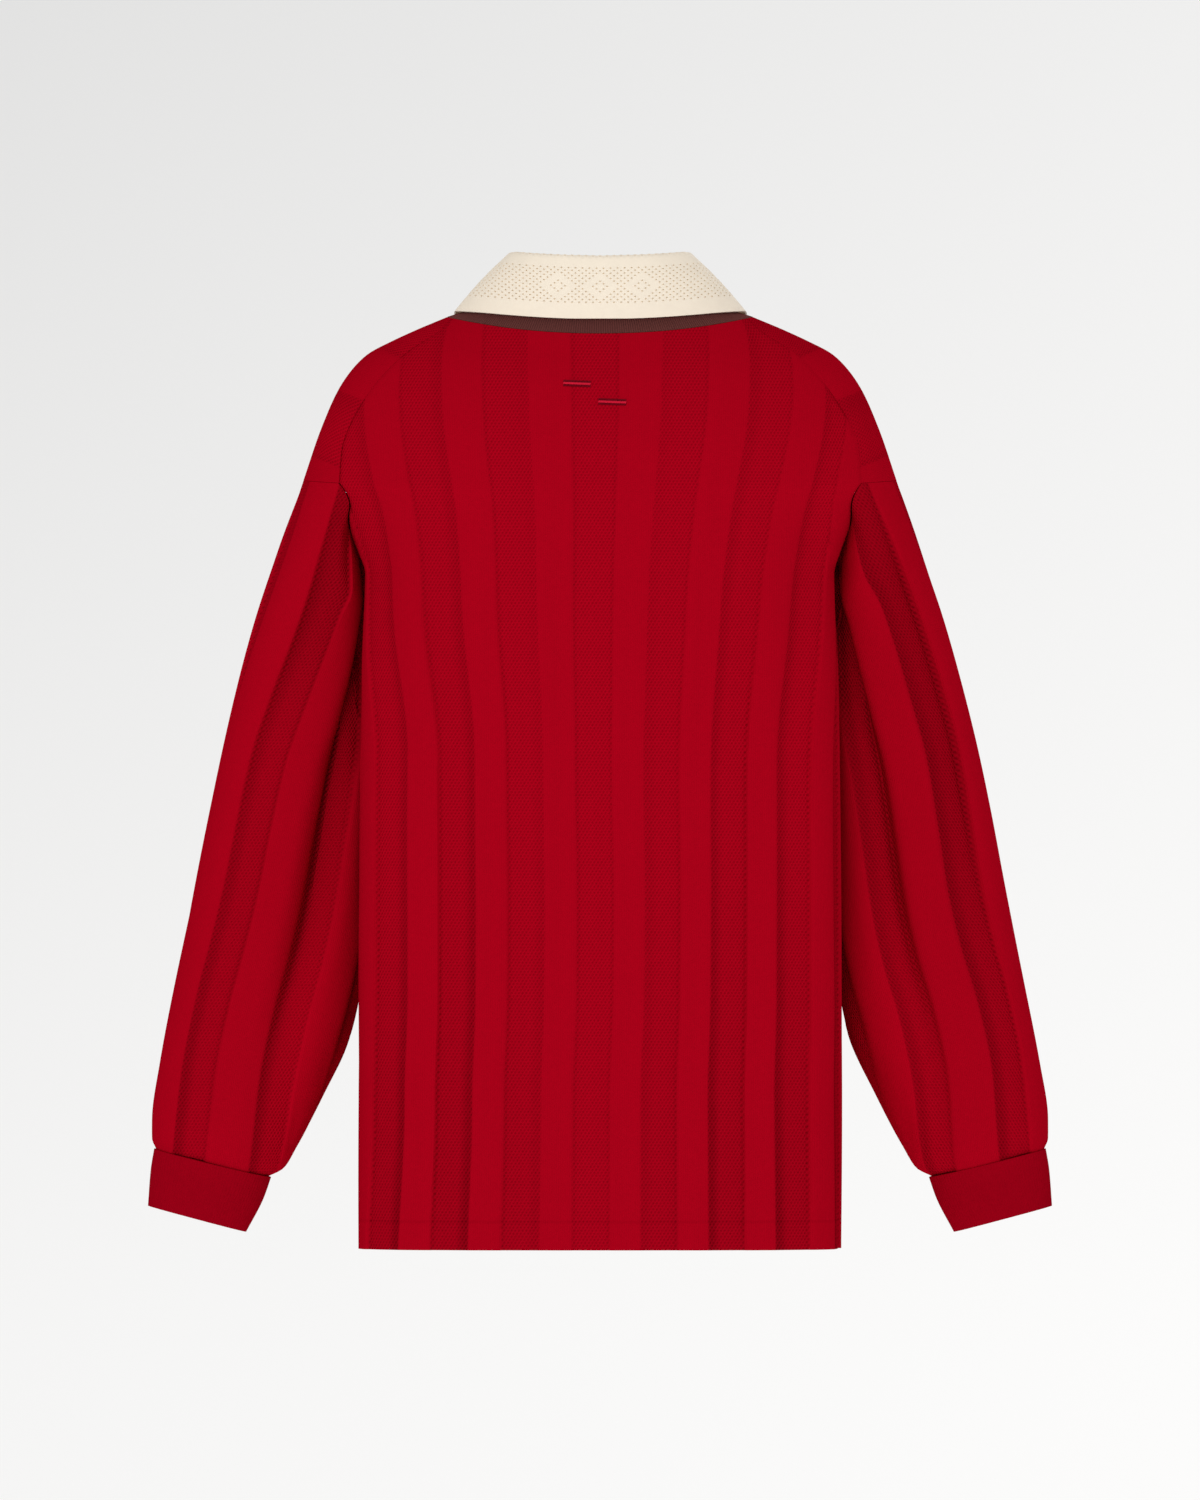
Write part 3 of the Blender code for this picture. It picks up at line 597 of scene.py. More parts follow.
# %% Sockets as numbers
class Value:
    """A socket that takes part in Python sums."""

    def __init__(self, graph, socket):
        self.graph, self.socket = graph, socket

    def math(self, operation, *others, first=None):
        terms = (self, *others) if first is None else (first, self, *others)
        return self.graph.add("ShaderNodeMath", {"operation": operation}, dict(enumerate(terms)))

    def __add__(self, other):
        return self.math("ADD", other)

    def __mul__(self, other):
        return self.math("MULTIPLY", other)

    def __sub__(self, other):
        return self.math("SUBTRACT", other)

    def __rsub__(self, other):
        return self.math("SUBTRACT", first=other)

    def __truediv__(self, other):
        return self.math("DIVIDE", other)

    def __pow__(self, other):
        return self.math("POWER", other)

    def __abs__(self):
        return self.math("ABSOLUTE")

    __radd__, __rmul__ = __add__, __mul__

    def cos(self):
        return self.math("COSINE")

    def sin(self):
        return self.math("SINE")

    def wrap(self, low, high):
        return self.math("WRAP", high, low)

    def atleast(self, low):
        return self.math("MAXIMUM", low)

    def held(self, low, high):
        return self.atleast(low).math("MINIMUM", high)

    def step(self, low, high):
        """0 below low and 1 above high, with a soft change between."""
        ends = {0: self, 1: low, 2: high, 3: 0.0, 4: 1.0}
        return self.graph.add("ShaderNodeMapRange", {"interpolation_type": "SMOOTHSTEP"}, ends)

    def within(self, rise, full, fade, none):
        """0 before rise, 1 from full to fade, and 0 again after none."""
        return self.step(rise, full) * (1.0 - self.step(fade, none))


class Graph:
    """A node tree and the one way to add to it."""

    def __init__(self, tree):
        self.tree = tree

    def add(self, kind, settings=None, values=None, out=0):
        node = self.tree.nodes.new(kind)
        for key, setting in (settings or {}).items():
            setattr(node, key, setting)
        for key, value in (values or {}).items():
            self.plug(node.inputs[key], value)
        return Value(self, node.outputs[out]) if len(node.outputs) else node

    def plug(self, socket, value):
        if isinstance(value, Value):
            self.tree.links.new(value.socket, socket)
        else:
            socket.default_value = value

    def others(self, value, out):
        """Another output of the node behind a value."""
        return Value(self, value.socket.node.outputs[out])

    def mixed(self, share, low, high):
        """A number between two others."""
        return self.add("ShaderNodeMix", None, {0: share, 2: low, 3: high})

    def sprinkled(self, scale, detail):
        """Noise in space, with about this many grains to the metre."""
        where = self.add("ShaderNodeTexCoord", out="Object")
        return self.add("ShaderNodeTexNoise", {"noise_dimensions": "3D"}, {0: where, 2: scale, 3: detail})


def surface(name, roughness, specular, tint):
    """A new material, its graph and its shader, with the settings that are the same all over."""
    material = bpy.data.materials.new(name)
    material.use_nodes = True
    shader = material.node_tree.nodes["Principled BSDF"]
    shader.inputs["Roughness"].default_value = roughness
    shader.inputs["Specular IOR Level"].default_value = specular
    shader.inputs["Specular Tint"].default_value = (*tint, 1.0)
    return material, Graph(material.node_tree), shader


def dye(graph, shader, colour, tone, into="Base Color"):
    """Plugs in a colour made lighter or darker by a value near 1."""
    shaded = graph.add("ShaderNodeVectorMath", {"operation": "SCALE"}, {0: colour, "Scale": tone})
    graph.plug(shader.inputs[into], shaded)


def emboss(graph, shader, height, distance, strength=1.0):
    """Plugs in a bump this many metres deep."""
    bump = graph.add("ShaderNodeBump", None, {"Strength": strength, "Distance": distance, "Height": height})
    graph.plug(shader.inputs["Normal"], bump)


def cloth_place(graph, label="cloth"):
    """A map of the piece, and its two numbers: ribs across and metres down, unless another map is named."""
    place = graph.add("ShaderNodeUVMap", {"uv_map": label})
    across = graph.add("ShaderNodeSeparateXYZ", None, {0: place})
    return place, across, graph.others(across, 1)


# %% [markdown]
# ## The red knit
# Dyed cotton with almost no shine. On a smooth rib each column of stitches is a chain of small Vs with a
# groove between columns. On a moss rib knit and purl stitches trade places, and leave staggered pips with
# dark pits around them. Both are heights for one Bump node, and the pits and grooves also get a little
# painted shade, for the shade the yarn casts on itself there. Broader painted shade lies on the long flanks
# of the smooth ribs and in the corners at the foot of their sharp flanks, and grows towards the hem; low
# down the moss ribs at the sides get more of it. On a sleeve the first moss rib gets painted shade near the
# top, and the ribs beside the body get painted light low down.

# %% Dyes
RED = (0.397, 0.0008, 0.0100)
RED_TINT = (1.0, 0.02, 0.06)
BROWN = (0.122, 0.0325, 0.029)
BROWN_TINT = (1.0, 0.8, 0.7)
RIB_RED = (0.43, 0.0009, 0.0115)
CREAM = (0.925, 0.822, 0.680)
CREAM_TINT = (1.0, 0.95, 0.88)
TACK_LIGHT = (0.640, 0.012, 0.040)

# %% Knit material
WALE = 0.00145
COURSE = 0.0009
MOSS_ROW = 0.0024
KNIT_BUMP = 0.00035
V_SLANT = 1.1
V_HEIGHT = 0.35
GROOVE_DEPTH = 0.8
GROOVE_SHADE = 0.03
SMOOTH_HEIGHT = 0.5
MOSS_HEIGHT = 1.2
MOSS_SUNK = 0.3
MOSS_PIT = 0.34
MOSS_SLANT = 0.64
FLECK_SHADE = 0.10
CLOUD_SHADE = 0.05
PAINTED_FLANK_SHADE = 0.23
FLANK_AT_TOP = 0.4
FLANK_GAIN = 0.7
PAINTED_HEM_SHADE = 0.09
PAINTED_INNER_LIGHT = 0.12
PAINTED_FIRST_MOSS_SHADE = 0.16
HEM_TURN = 0.7156
HEM_TURN_SHADE = 0.08
PAINTED_CORNER_SHADE = 0.07

# %% Where painted shade and light rise and fade, in ribs past the edge of a smooth rib or of the middle one
BORDER_WAVER = 0.06
FLANK_EDGES = (-0.04, 0.05, 0.10, 0.42)
CORNER_EDGES = (-0.12, -0.05, -0.02, 0.04)
OUTER_RIBS = (0.0, 4.0)
FIRST_MOSS_EDGES = (0.50, 0.60, 1.40, 1.46)
INNER_RIBS = (2.4, 3.4)

# %% Where they grow, in metres down from the neck
FLANK_GROWS = (0.10, 0.75)
HEM_GROWS = (0.40, 0.72)
INNER_GROWS = (0.36, 0.56)
HEM_TURN_EDGE = (0.0006, 0.0018)


# %% Knit
def knit(name, stripes, falls, moss_shade, sunk=None):
    """The red knit, with painted shade and light. falls is the side of a smooth rib with the long flank.

    On a sleeve, the last argument gives the heights between which the painted shade on its first moss rib
    ends."""
    material, graph, shader = surface(name, roughness=0.85, specular=0.0, tint=RED_TINT)
    place, across, down = cloth_place(graph)
    cloud = graph.add("ShaderNodeTexNoise", {"noise_dimensions": "2D"}, {0: place, 2: 2.0, 3: 3.0})
    number = across + (cloud - 0.5) * BORDER_WAVER
    side = number.math("SIGN") * float(falls)
    past = ((number - float(stripes.first_smooth)) * side - (stripes.half - 0.5)).wrap(0.0, 2.0) - 0.5
    width = 2 - 2 * stripes.half
    moss = past.within(-0.02, 0.03, width - 0.03, width + 0.02)
    flank = past.within(*FLANK_EDGES)
    corner = past.within(*(width + edge for edge in CORNER_EDGES))
    low_down = down.step(*FLANK_GROWS) * FLANK_GAIN + FLANK_AT_TOP
    _, wale, course = cloth_place(graph, "stitches")
    wale = wale / WALE
    inside = abs(wale.wrap(-0.5, 0.5))
    chain = (2 * math.pi * (course / COURSE + inside * V_SLANT)).sin() * V_HEIGHT
    groove = (inside * 2.0) ** 3.0
    smooth_height = (chain - groove * GROOVE_DEPTH) * SMOOTH_HEIGHT
    step, row = math.pi * wale, math.pi / MOSS_ROW * course
    pips = (step + row).cos() * MOSS_SLANT + (step - row).cos() * (1 - MOSS_SLANT)
    emboss(graph, shader, graph.mixed(moss, smooth_height, pips * MOSS_HEIGHT - MOSS_SUNK), KNIT_BUMP)
    uneven = graph.sprinkled(scale=420.0, detail=1.0) * 1.2 + 0.4
    # The pits and the grooves are painted a little darker, as shade the yarn casts on itself.
    pit = (0.0 - pips).atleast(0.0) * uneven * MOSS_PIT + moss_shade
    outer = 1.0 if sunk else abs(number).step(*OUTER_RIBS)
    shade = graph.mixed(moss, groove * GROOVE_SHADE, pit)
    # Painted shade on the long flanks of the smooth ribs, growing towards the hem, and in the corners at the
    # foot of their sharp flanks.
    shade = shade + flank * low_down * outer * PAINTED_FLANK_SHADE + corner * PAINTED_CORNER_SHADE
    if sunk:
        # Painted shade on a sleeve's first moss rib near the top.
        shade = shade + number.within(*FIRST_MOSS_EDGES) * (1.0 - down.step(*sunk)) * PAINTED_FIRST_MOSS_SHADE
        # Painted light on the sleeve's ribs beside the body, low down.
        shade = shade - number.step(*INNER_RIBS) * down.step(*INNER_GROWS) * PAINTED_INNER_LIGHT
    else:
        # Painted shade on the moss ribs at the sides, growing towards the hem.
        shade = shade + moss * down.step(*HEM_GROWS) * outer * PAINTED_HEM_SHADE
    shade = shade + (1.0 - abs(down - HEM_TURN).step(*HEM_TURN_EDGE)) * HEM_TURN_SHADE
    fleck = graph.sprinkled(scale=260.0, detail=2.0)
    dye(graph, shader, RED, 1.0 - shade + (fleck - 0.5) * FLECK_SHADE + (cloud - 0.5) * CLOUD_SHADE)
    return material


BODY_KNIT = knit("red_body_knit", BODY_STRIPES, 1, -0.03)
SLEEVE_KNIT = {
    -1: knit("red_sleeve_left_knit", SLEEVE_STRIPES, 1, 0.03, (0.20, 0.34)),
    1: knit("red_sleeve_right_knit", SLEEVE_STRIPES, -1, 0.03, (0.34, 0.62)),
}


# %% [markdown]
# ## Ribbed cloth
# Cuffs and neckband are a one-and-one rib: a raised column of stitches, a sunken one, and so on. The ribs are
# real relief, so a geometry node tree pushes the fine mesh out and in along its normals by a wave, counted by
# an attribute that says how many ribs round a point lies.

# %% Rib relief by geometry nodes
def node_group(name, sizes):
    """A geometry node group with a mesh input and named inputs for its sizes."""
    group = bpy.data.node_groups.new(name, "GeometryNodeTree")
    group.interface.new_socket("Geometry", in_out="INPUT", socket_type="NodeSocketGeometry")
    for label, kind in sizes.items():
        group.interface.new_socket(label, in_out="INPUT", socket_type=kind)
    group.interface.new_socket("Geometry", in_out="OUTPUT", socket_type="NodeSocketGeometry")
    graph = Graph(group)
    start = graph.add("NodeGroupInput")
    return group, graph, [graph.others(start, i) for i in range(len(sizes) + 1)]


def finish_group(graph, made, material):
    """Ends a tree in real geometry with its material."""
    real = graph.add("GeometryNodeRealizeInstances", None, {0: made})
    dyed = graph.add("GeometryNodeSetMaterial", None, {"Geometry": real, "Material": material})
    graph.add("NodeGroupOutput", None, {0: dyed})


def apply_group(piece, group, **sizes):
    """Runs a group on a piece. Each input is set by its identifier before the piece is evaluated."""
    modifier = piece.modifiers.new(group.name, "NODES")
    modifier.node_group = group
    by_name = {s.name: s.identifier for s in group.interface.items_tree if s.in_out == "INPUT"}
    for label, size in sizes.items():
        modifier[by_name[label]] = size
    return settle(piece)


def attribute(graph, name, kind="FLOAT"):
    return graph.add("GeometryNodeInputNamedAttribute", {"data_type": kind}, {"Name": name})


def rib_group():
    group, graph, (cloth_in, depth, material) = node_group(
        "ribs", {"Depth": "NodeSocketFloat", "Material": "NodeSocketMaterial"}
    )
    wave = (attribute(graph, "rib_count") * (2 * math.pi)).cos() * depth
    normal = graph.add("GeometryNodeInputNormal")
    push = graph.add("ShaderNodeVectorMath", {"operation": "SCALE"}, {0: normal, "Scale": wave})
    moved = graph.add("GeometryNodeSetPosition", None, {"Geometry": cloth_in, "Offset": push})
    finish_group(graph, moved, material)
    return group


RIBS = rib_group()
RIB_BUMP = 0.00025


def ribbed_tube(name, grid, uv, number, depth, material, turned=False):
    """A closed tube of ribbed cloth: the rib group pushes the fine mesh, and then it gets its wall."""
    mesh, used = grid_mesh(name, grid[:, :-1], uv, closed=True)
    mark(mesh, "rib_count", "FLOAT", number[:, :-1].ravel()[used])
    piece = cloth(name, flipped(mesh) if turned else mesh, 0, material)
    apply_group(piece, RIBS, Depth=depth, Material=material)
    return walled(piece, RIB_WALL)


def ribbed(name, colour, tint, specular, valley_shade, lighter_low=0.0):
    """A rib's material: the valleys get painted shade, and short stitches cross each rib."""
    material, graph, shader = surface(name, roughness=0.88, specular=specular, tint=tint)
    _, across, down = cloth_place(graph)
    valley = (1.0 - (across * (2 * math.pi)).cos()) * 0.5
    stitch = (2 * math.pi * (down / COURSE + abs(across.wrap(-0.5, 0.5)) * 1.2)).sin()
    emboss(graph, shader, stitch * 0.4 - valley, RIB_BUMP)
    fleck = graph.sprinkled(scale=240.0, detail=2.0)
    tone = 1.0 - valley * valley_shade + (fleck - 0.5) * FLECK_SHADE + down * lighter_low
    dye(graph, shader, colour, tone)
    return material


RED_RIB = ribbed("red_rib", RIB_RED, RED_TINT, specular=0.0, valley_shade=0.26)
BROWN_RIB = ribbed("brown_rib", BROWN, BROWN_TINT, specular=0.25, valley_shade=0.35, lighter_low=12.0)

# %% [markdown]
# ## Back and front
# Each row of the form gives one row of the back and one of the front, worked out from the middle to the seam
# on either side. The front also covers the shoulders: above the drop seam it reaches back to the slanted seam
# on the back panel. Near a seam the cloth dips, as the stitches pull it in.

# %% Columns that follow the ribs
NEAR_BORDER = (-0.10, -0.045, 0.0, 0.045, 0.10)
WITHIN_RIB = (-0.28, 0.0, 0.28)
WITHIN_SLEEVE_RIB = (-0.37, -0.28, -0.19, -0.09, 0.0, 0.09, 0.19, 0.28, 0.37)
BODY_SQUEEZED = 1.5
CLOSEST = 0.02


def column_numbers(stripes, last, within):
    """Rib numbers from 0 to last, closest together at the borders between ribs."""
    found = [0.0, last]
    for rib in range(math.ceil(last) + 1):
        is_smooth = rib % 2 == stripes.first_smooth % 2
        if is_smooth:
            for border in (rib - stripes.half, rib + stripes.half):
                found += [border + away for away in NEAR_BORDER]
        found += [rib + away for away in within]
    found = np.array(sorted(set(np.round(found, 4))))
    found = found[(found >= 0) & (found <= last)]
    keep = np.append(np.diff(found) > CLOSEST, True)
    keep[0] = True
    return found[keep]


def squeezed(numbers, edge, zone):
    """The numbers unchanged up to a zone before the edge, and in it squeezed to end at the edge."""
    free = edge - zone
    room = (edge - free) / (numbers[-1] - free)
    return np.where(numbers > free, free + (numbers - free) * room, numbers)


# %% Panels
LAST_NUMBER = 10.8
COLUMN_NUMBERS = column_numbers(BODY_STRIPES, LAST_NUMBER, WITHIN_RIB)
WING_COLUMNS = 18
ROW_PLACES = 400
MASKED_WIDTH = 0.001
SEAM_DIP = 0.0009
SEAM_DIP_WIDTH = 0.004


def panel_uv(numbers, grid):
    return np.stack([numbers, -grid[..., 2]], axis=-1)


def half_row(i, edge, end, side, front):
    """Half a row of a panel: columns at rib numbers from the middle out to the edge."""
    fine = np.linspace(end, edge, ROW_PLACES)
    ribs = body.ribs_at(i, fine, side, front)
    shift = side * body.stripe_shift(i, front)
    numbers = squeezed(COLUMN_NUMBERS, ribs[-1] + shift, BODY_SQUEEZED)
    places = np.interp(numbers - shift, ribs, fine)
    places[0] = end
    return places


def half_places(i, side, front):
    """Half a row of a panel, from its middle out over the wing of the shoulder, and the place of its seam."""
    if not front:
        seam = body.back_edge[i]
        return half_row(i, seam - SEAM_GAP / 2, 0.0, side, False), seam
    seam = body.front_edge[i]
    inner = seam + SEAM_GAP / 2
    level = half_row(i, inner, body.runs[i][-1], side, True)
    start = inner - MASKED_WIDTH
    if i <= body.drop:
        seam = start = body.back_edge[i] + SEAM_GAP / 2
    wing = start + (inner - start) * np.linspace(0, 1, WING_COLUMNS + 1)[:-1]
    return np.concatenate([level, wing[::-1]]), seam


def dipped(i, found, places, seam, side):
    """Points pulled in towards a seam at this place on their row."""
    dip = SEAM_DIP * (1 - ease(abs(seam - places) / SEAM_DIP_WIDTH))
    return found - body.outward(i, places) * [side, 1, 1] * dip[:, None]


def panel(name, front):
    """A panel from rows of two halves. Below the drop seam the columns of the front's wings are left out."""
    grid, numbers, stitched = [], [], []
    for i in range(len(body.rows)):
        halves = []
        for side in (1, -1) if front else (-1, 1):
            places, seam = half_places(i, side, front)
            found, number = body.points(i, places, side, front)
            found = dipped(i, found, places, seam, side)
            halves.append((found, number, body.stitches_at(i, places, side, front)))
        for rows, first, second in zip((grid, numbers, stitched), *halves):
            rows.append(np.concatenate([first[:0:-1], (first[:1] + second[:1]) / 2, second[1:]]))
    grid, numbers, stitched = np.array(grid), np.array(numbers), np.array(stitched)
    last = grid.shape[1] - 2

    def keep(i, j):
        return (i < body.drop) | ((j >= WING_COLUMNS) & (j <= last - WING_COLUMNS))

    mesh, _ = grid_mesh(name, grid, panel_uv(numbers, grid), keep if front else None, knit_uv=stitched)
    return cloth(name, mesh, KNIT_WALL, BODY_KNIT)


back, front = panel("back_knit", False), panel("front_knit", True)

# %% [markdown]
# ## Sleeves
# A sleeve starts at the armhole, whose line the body form gives, and runs down through the rings of the
# table. Its columns of points follow the ribs: one border between two ribs is laid down the sleeve by a short
# table, and the others keep their distance from it round the ring, until the underarm seam cuts them off.

# %% Sleeve rings
SLEEVE_LAST_NUMBER = 8.4
SLEEVE_NUMBERS = column_numbers(SLEEVE_STRIPES, SLEEVE_LAST_NUMBER, WITHIN_SLEEVE_RIB)
SLEEVE_SQUEEZED = 0.8
SLEEVE_STEP = 0.0040
BORDER_LINE = {
    -1: [
        At(-0.700, 0.3437), At(-0.589, 0.3311), At(-0.4625, 0.3010), At(-0.3374, 0.2736),
        At(-0.2843, 0.2542), At(-0.2320, 0.2344), At(-0.1790, 0.2186), At(-0.1394, 0.2059),
    ],
    1: [
        At(-0.700, 0.3453), At(-0.589, 0.3358), At(-0.4625, 0.3049), At(-0.3358, 0.2827),
        At(-0.3025, 0.2736), At(-0.2439, 0.2558), At(-0.2035, 0.2416), At(-0.1592, 0.2238),
        At(-0.1275, 0.2090),
    ],
}


def ring_halves(row):
    """The back and front halves of a ring, from its outer end to its inner one."""
    out, deep = quarter(row.power)
    across = np.concatenate([out[::-1], -out[1:]])
    depth = np.concatenate([deep[::-1], deep[1:]])
    middle = np.array([row.outer_x + row.inner_x, 0, row.outer_z + row.inner_z]) / 2
    axis = np.array([row.outer_x - row.inner_x, 0, row.outer_z - row.inner_z]) / 2
    back_half = middle + across[:, None] * axis
    front_half = back_half.copy()
    back_half[:, 1] = row.mid_y - row.reach * depth
    front_half[:, 1] = row.mid_y + row.reach * depth
    return back_half, front_half


DROP_SEAM_POINTS = 40
DROP_CORNER_REACH = 0.03
RING_STEP = 0.05
SLEEVE_TOP_REACH = 0.018
SLEEVE_SEAM_REACH = 0.4
FIRST_MOSS_STRETCH = {-1: (0.58, 0.28, 0.08), 1: (0.42, 0.20, 0.05)}


def armhole_halves(side):
    """The armhole's back and front lines, each from the outer end of the drop seam to the armpit."""
    outer = body.outer_place(body.drop)
    halves = []
    for edges, shift, front_side in ((body.back_edge, 1, False), (body.front_edge, -1, True)):
        along_drop = np.linspace(outer, edges[body.drop] + shift * SEAM_GAP / 2, DROP_SEAM_POINTS)
        line = body.points(body.drop, along_drop, side, True)[0]
        for i in range(body.drop + 1, body.armpit + 1):
            line = np.vstack([line, body.points(i, [edges[i]], side, front_side)[0]])
        line[:, 0] *= side
        line[:, 2] -= SEAM_GAP * ease((line[:, 2] - ARMPIT_Z) / (DROP_SEAM_Z - ARMPIT_Z) * 2 - 1)
        line[:, 0] += SEAM_GAP * ease((DROP_SEAM_Z - line[:, 2]) / DROP_CORNER_REACH)
        halves.append(line)
    return halves


def border_place(back_half, side):
    """How far round the ring the border line crosses its back half."""
    at = value_at(BORDER_LINE[side], back_half[:, 2])
    return first_at(lengths(back_half), at - back_half[:, 0])


def ring_points(halves, side, stretch):
    """Points round a ring in columns that keep their rib numbers, from the seam round the front.

    stretch: how many ribs wider than the rest the first moss rib is here."""
    back_half, front_half = halves
    pitch, half = SLEEVE_STRIPES.pitch, SLEEVE_STRIPES.half
    zero = border_place(back_half, side) - half * pitch
    long = lengths(back_half)[-1]
    behind_numbers = squeezed(SLEEVE_NUMBERS, (long - zero) / pitch - stretch, SLEEVE_SQUEEZED)
    ahead_numbers = squeezed(SLEEVE_NUMBERS, (long + zero) / pitch, SLEEVE_SQUEEZED)
    number = np.concatenate([-ahead_numbers[:0:-1], behind_numbers])
    places = zero + (number + stretch * ease((number - half) / (2 - 2 * half))) * pitch
    scale = lengths(front_half)[-1] / long
    behind = along_line(back_half, np.clip(places, 0, None))
    ahead = along_line(front_half, np.clip(-places, 0, None) * scale)
    points = np.where((places >= 0)[:, None], behind, ahead)
    points[:, 0] *= side
    return points, number


def normals(grid):
    """Outward directions of a closed tube of points, whose last column repeats its first."""
    down = np.gradient(grid, axis=0)
    wrapped = np.concatenate([grid[:, -2:-1], grid, grid[:, 1:2]], axis=1)
    across = (wrapped[:, 2:] - wrapped[:, :-2]) / 2
    found = unit(np.cross(down, across))
    centre = grid[:, :-1].mean(axis=1, keepdims=True)
    return found * np.sign(((grid - centre) * found).sum(axis=(1, 2), keepdims=True))


def tube(rings, step):
    """Rings of points and numbers joined smoothly, a step apart."""
    points = np.array([ring[0] for ring in rings])
    number = np.array([ring[1] for ring in rings])
    knots = totals(np.linalg.norm(np.diff(points, axis=0), axis=2).mean(axis=1))
    at = np.linspace(0, knots[-1], round(knots[-1] / step) + 1)
    return smooth(knots, points, at), smooth(knots, number, at)


def sleeve(side, word):
    rows = spread(SLEEVE_RINGS, "outer_x", "outer_z", RING_STEP)
    stretches = FIRST_MOSS_STRETCH[side] + (0.0,) * len(rows)
    halves = [armhole_halves(side)] + [ring_halves(row) for row in rows]
    rings = [ring_points(both, side, stretch) for both, stretch in zip(halves, stretches)]
    first = rings[0][0]
    for line in halves[0]:
        corner = line[DROP_SEAM_POINTS - 1] * [side, 1, 1]
        first[np.argmin(np.linalg.norm(first - corner, axis=1))] = corner
    grid, number = tube(rings, SLEEVE_STEP)
    z = grid[..., 2]
    top = ease(np.linalg.norm(grid - grid[:1], axis=2) / SLEEVE_TOP_REACH)
    falls = np.where(number < 0, side, -side)
    rise = value_at(SLEEVE_RELIEF, z) * rib_rise(number, SLEEVE_STRIPES, falls) * top
    rise += SLEEVE_WAVER * waver(number, z, 3.0 + side) * top
    for fold in SLEEVE_CREASES[side]:
        rise -= crease(fold, number, z) * top
    seam = np.minimum(abs(number - number[:, :1]), abs(number - number[:, -1:]))
    rise *= ease(seam / SLEEVE_SEAM_REACH)
    grid = grid + normals(grid) * rise[..., None]
    flat = panel_uv(number, grid)
    knit_uv = flat * [SLEEVE_STRIPES.pitch, 1]
    name = f"sleeve_{word}_knit"
    mesh, _ = grid_mesh(name, grid[:, :-1], flat, closed=True, knit_uv=knit_uv)
    return cloth(name, flipped(mesh) if side > 0 else mesh, KNIT_WALL, SLEEVE_KNIT[side])


sleeves = {side: sleeve(side, word) for side, word in SIDES}

# %% [markdown]
# ## Cuffs
# A cuff is a short ribbed tube. Its columns are spaced so that each rib gets the same few of them, and the
# rib group then pushes them in and out.

# %% Cuffs
CUFF_RIBS = 100
COLUMNS_A_RIB = 6
CUFF_STEP = 0.003
CUFF_RING_STEP = 0.02
CUFF_RIB_DEPTH = 0.00035


def cuff(side, word):
    count = CUFF_RIBS * COLUMNS_A_RIB
    rings = []
    for row in spread(CUFF_RINGS, "outer_x", "outer_z", CUFF_RING_STEP):
        back_half, front_half = ring_halves(row)
        loop = np.vstack([front_half[::-1], back_half[1:]])
        points = along_line(loop, np.linspace(0, lengths(loop)[-1], count + 1))
        points[:, 0] *= side
        rings.append((points, np.arange(count + 1) / COLUMNS_A_RIB))
    grid, number = tube(rings, CUFF_STEP)
    uv = panel_uv(number, grid)
    return ribbed_tube(f"cuff_{word}_rib", grid, uv, number, CUFF_RIB_DEPTH, RED_RIB, turned=side < 0)


cuffs = {side: cuff(side, word) for side, word in SIDES}

# %% [markdown]
# ## Neckband
# The band stands up from the neckline and leans in a little. It is the same kind of rib as the cuffs, finer
# and dark brown.

# %% Neckband
BandStation = namedtuple("BandStation", "share inward rise")
NECKBAND = [
    BandStation(0.00, 0.0070, 0.0185),
    BandStation(0.25, 0.0115, 0.0150),
    BandStation(0.46, 0.0190, 0.0060),
    BandStation(0.62, 0.0150, 0.0090),
    BandStation(1.00, 0.0090, 0.0150),
]
BAND_RIBS = 360
BAND_COLUMNS_A_RIB = 4
BAND_ROWS = 8
BAND_GAP = 0.0004
BAND_RIB_DEPTH = 0.00025


def neck_edges(shares):
    """The top of the neckband and the neckline below it, at signed shares of the half neckline."""
    low = []
    for share in shares:
        side = 1 if share >= 0 else -1
        low.append(body.points(0, [abs(share) * body.runs[0][-1]], side)[0][0])
    low = np.array(low)
    inward = table_at(NECKBAND, "inward", "share", abs(shares))
    rise = table_at(NECKBAND, "rise", "share", abs(shares))
    radial = unit(low * [1, 1, 0])
    return low - radial * inward[:, None] + rise[:, None] * [0, 0, 1], low


def neckband():
    shares = np.linspace(-1, 1, BAND_RIBS * BAND_COLUMNS_A_RIB + 1)
    high, low = neck_edges(shares)
    down = np.linspace(0, 1, BAND_ROWS + 1)[:, None, None]
    fit = 1 - BAND_GAP / np.linalg.norm(low - high, axis=1)[None, :, None]
    grid = high + (low - high) * down * fit
    number = np.tile(np.arange(len(shares)) / BAND_COLUMNS_A_RIB, (BAND_ROWS + 1, 1))
    uv = np.stack([number, np.linalg.norm(grid - high, axis=2)], axis=-1)
    return ribbed_tube("neckband_rib", grid, uv, number, BAND_RIB_DEPTH, BROWN_RIB)


band = neckband()

# %% [markdown]
# ## Collar
# The collar is knitted in one piece: it rises inside the neck, folds over, and falls outside as a leaf. The
# leaf is openwork, a net of small eyelets between solid edges, and the knitter leaves small lozenges of the
# net closed as a pattern. The eyelets are real holes. The cloth is laid out as a lattice of small diamonds, a
# face attribute marks the open ones, and a geometry node tree insets each of those and takes out its middle.

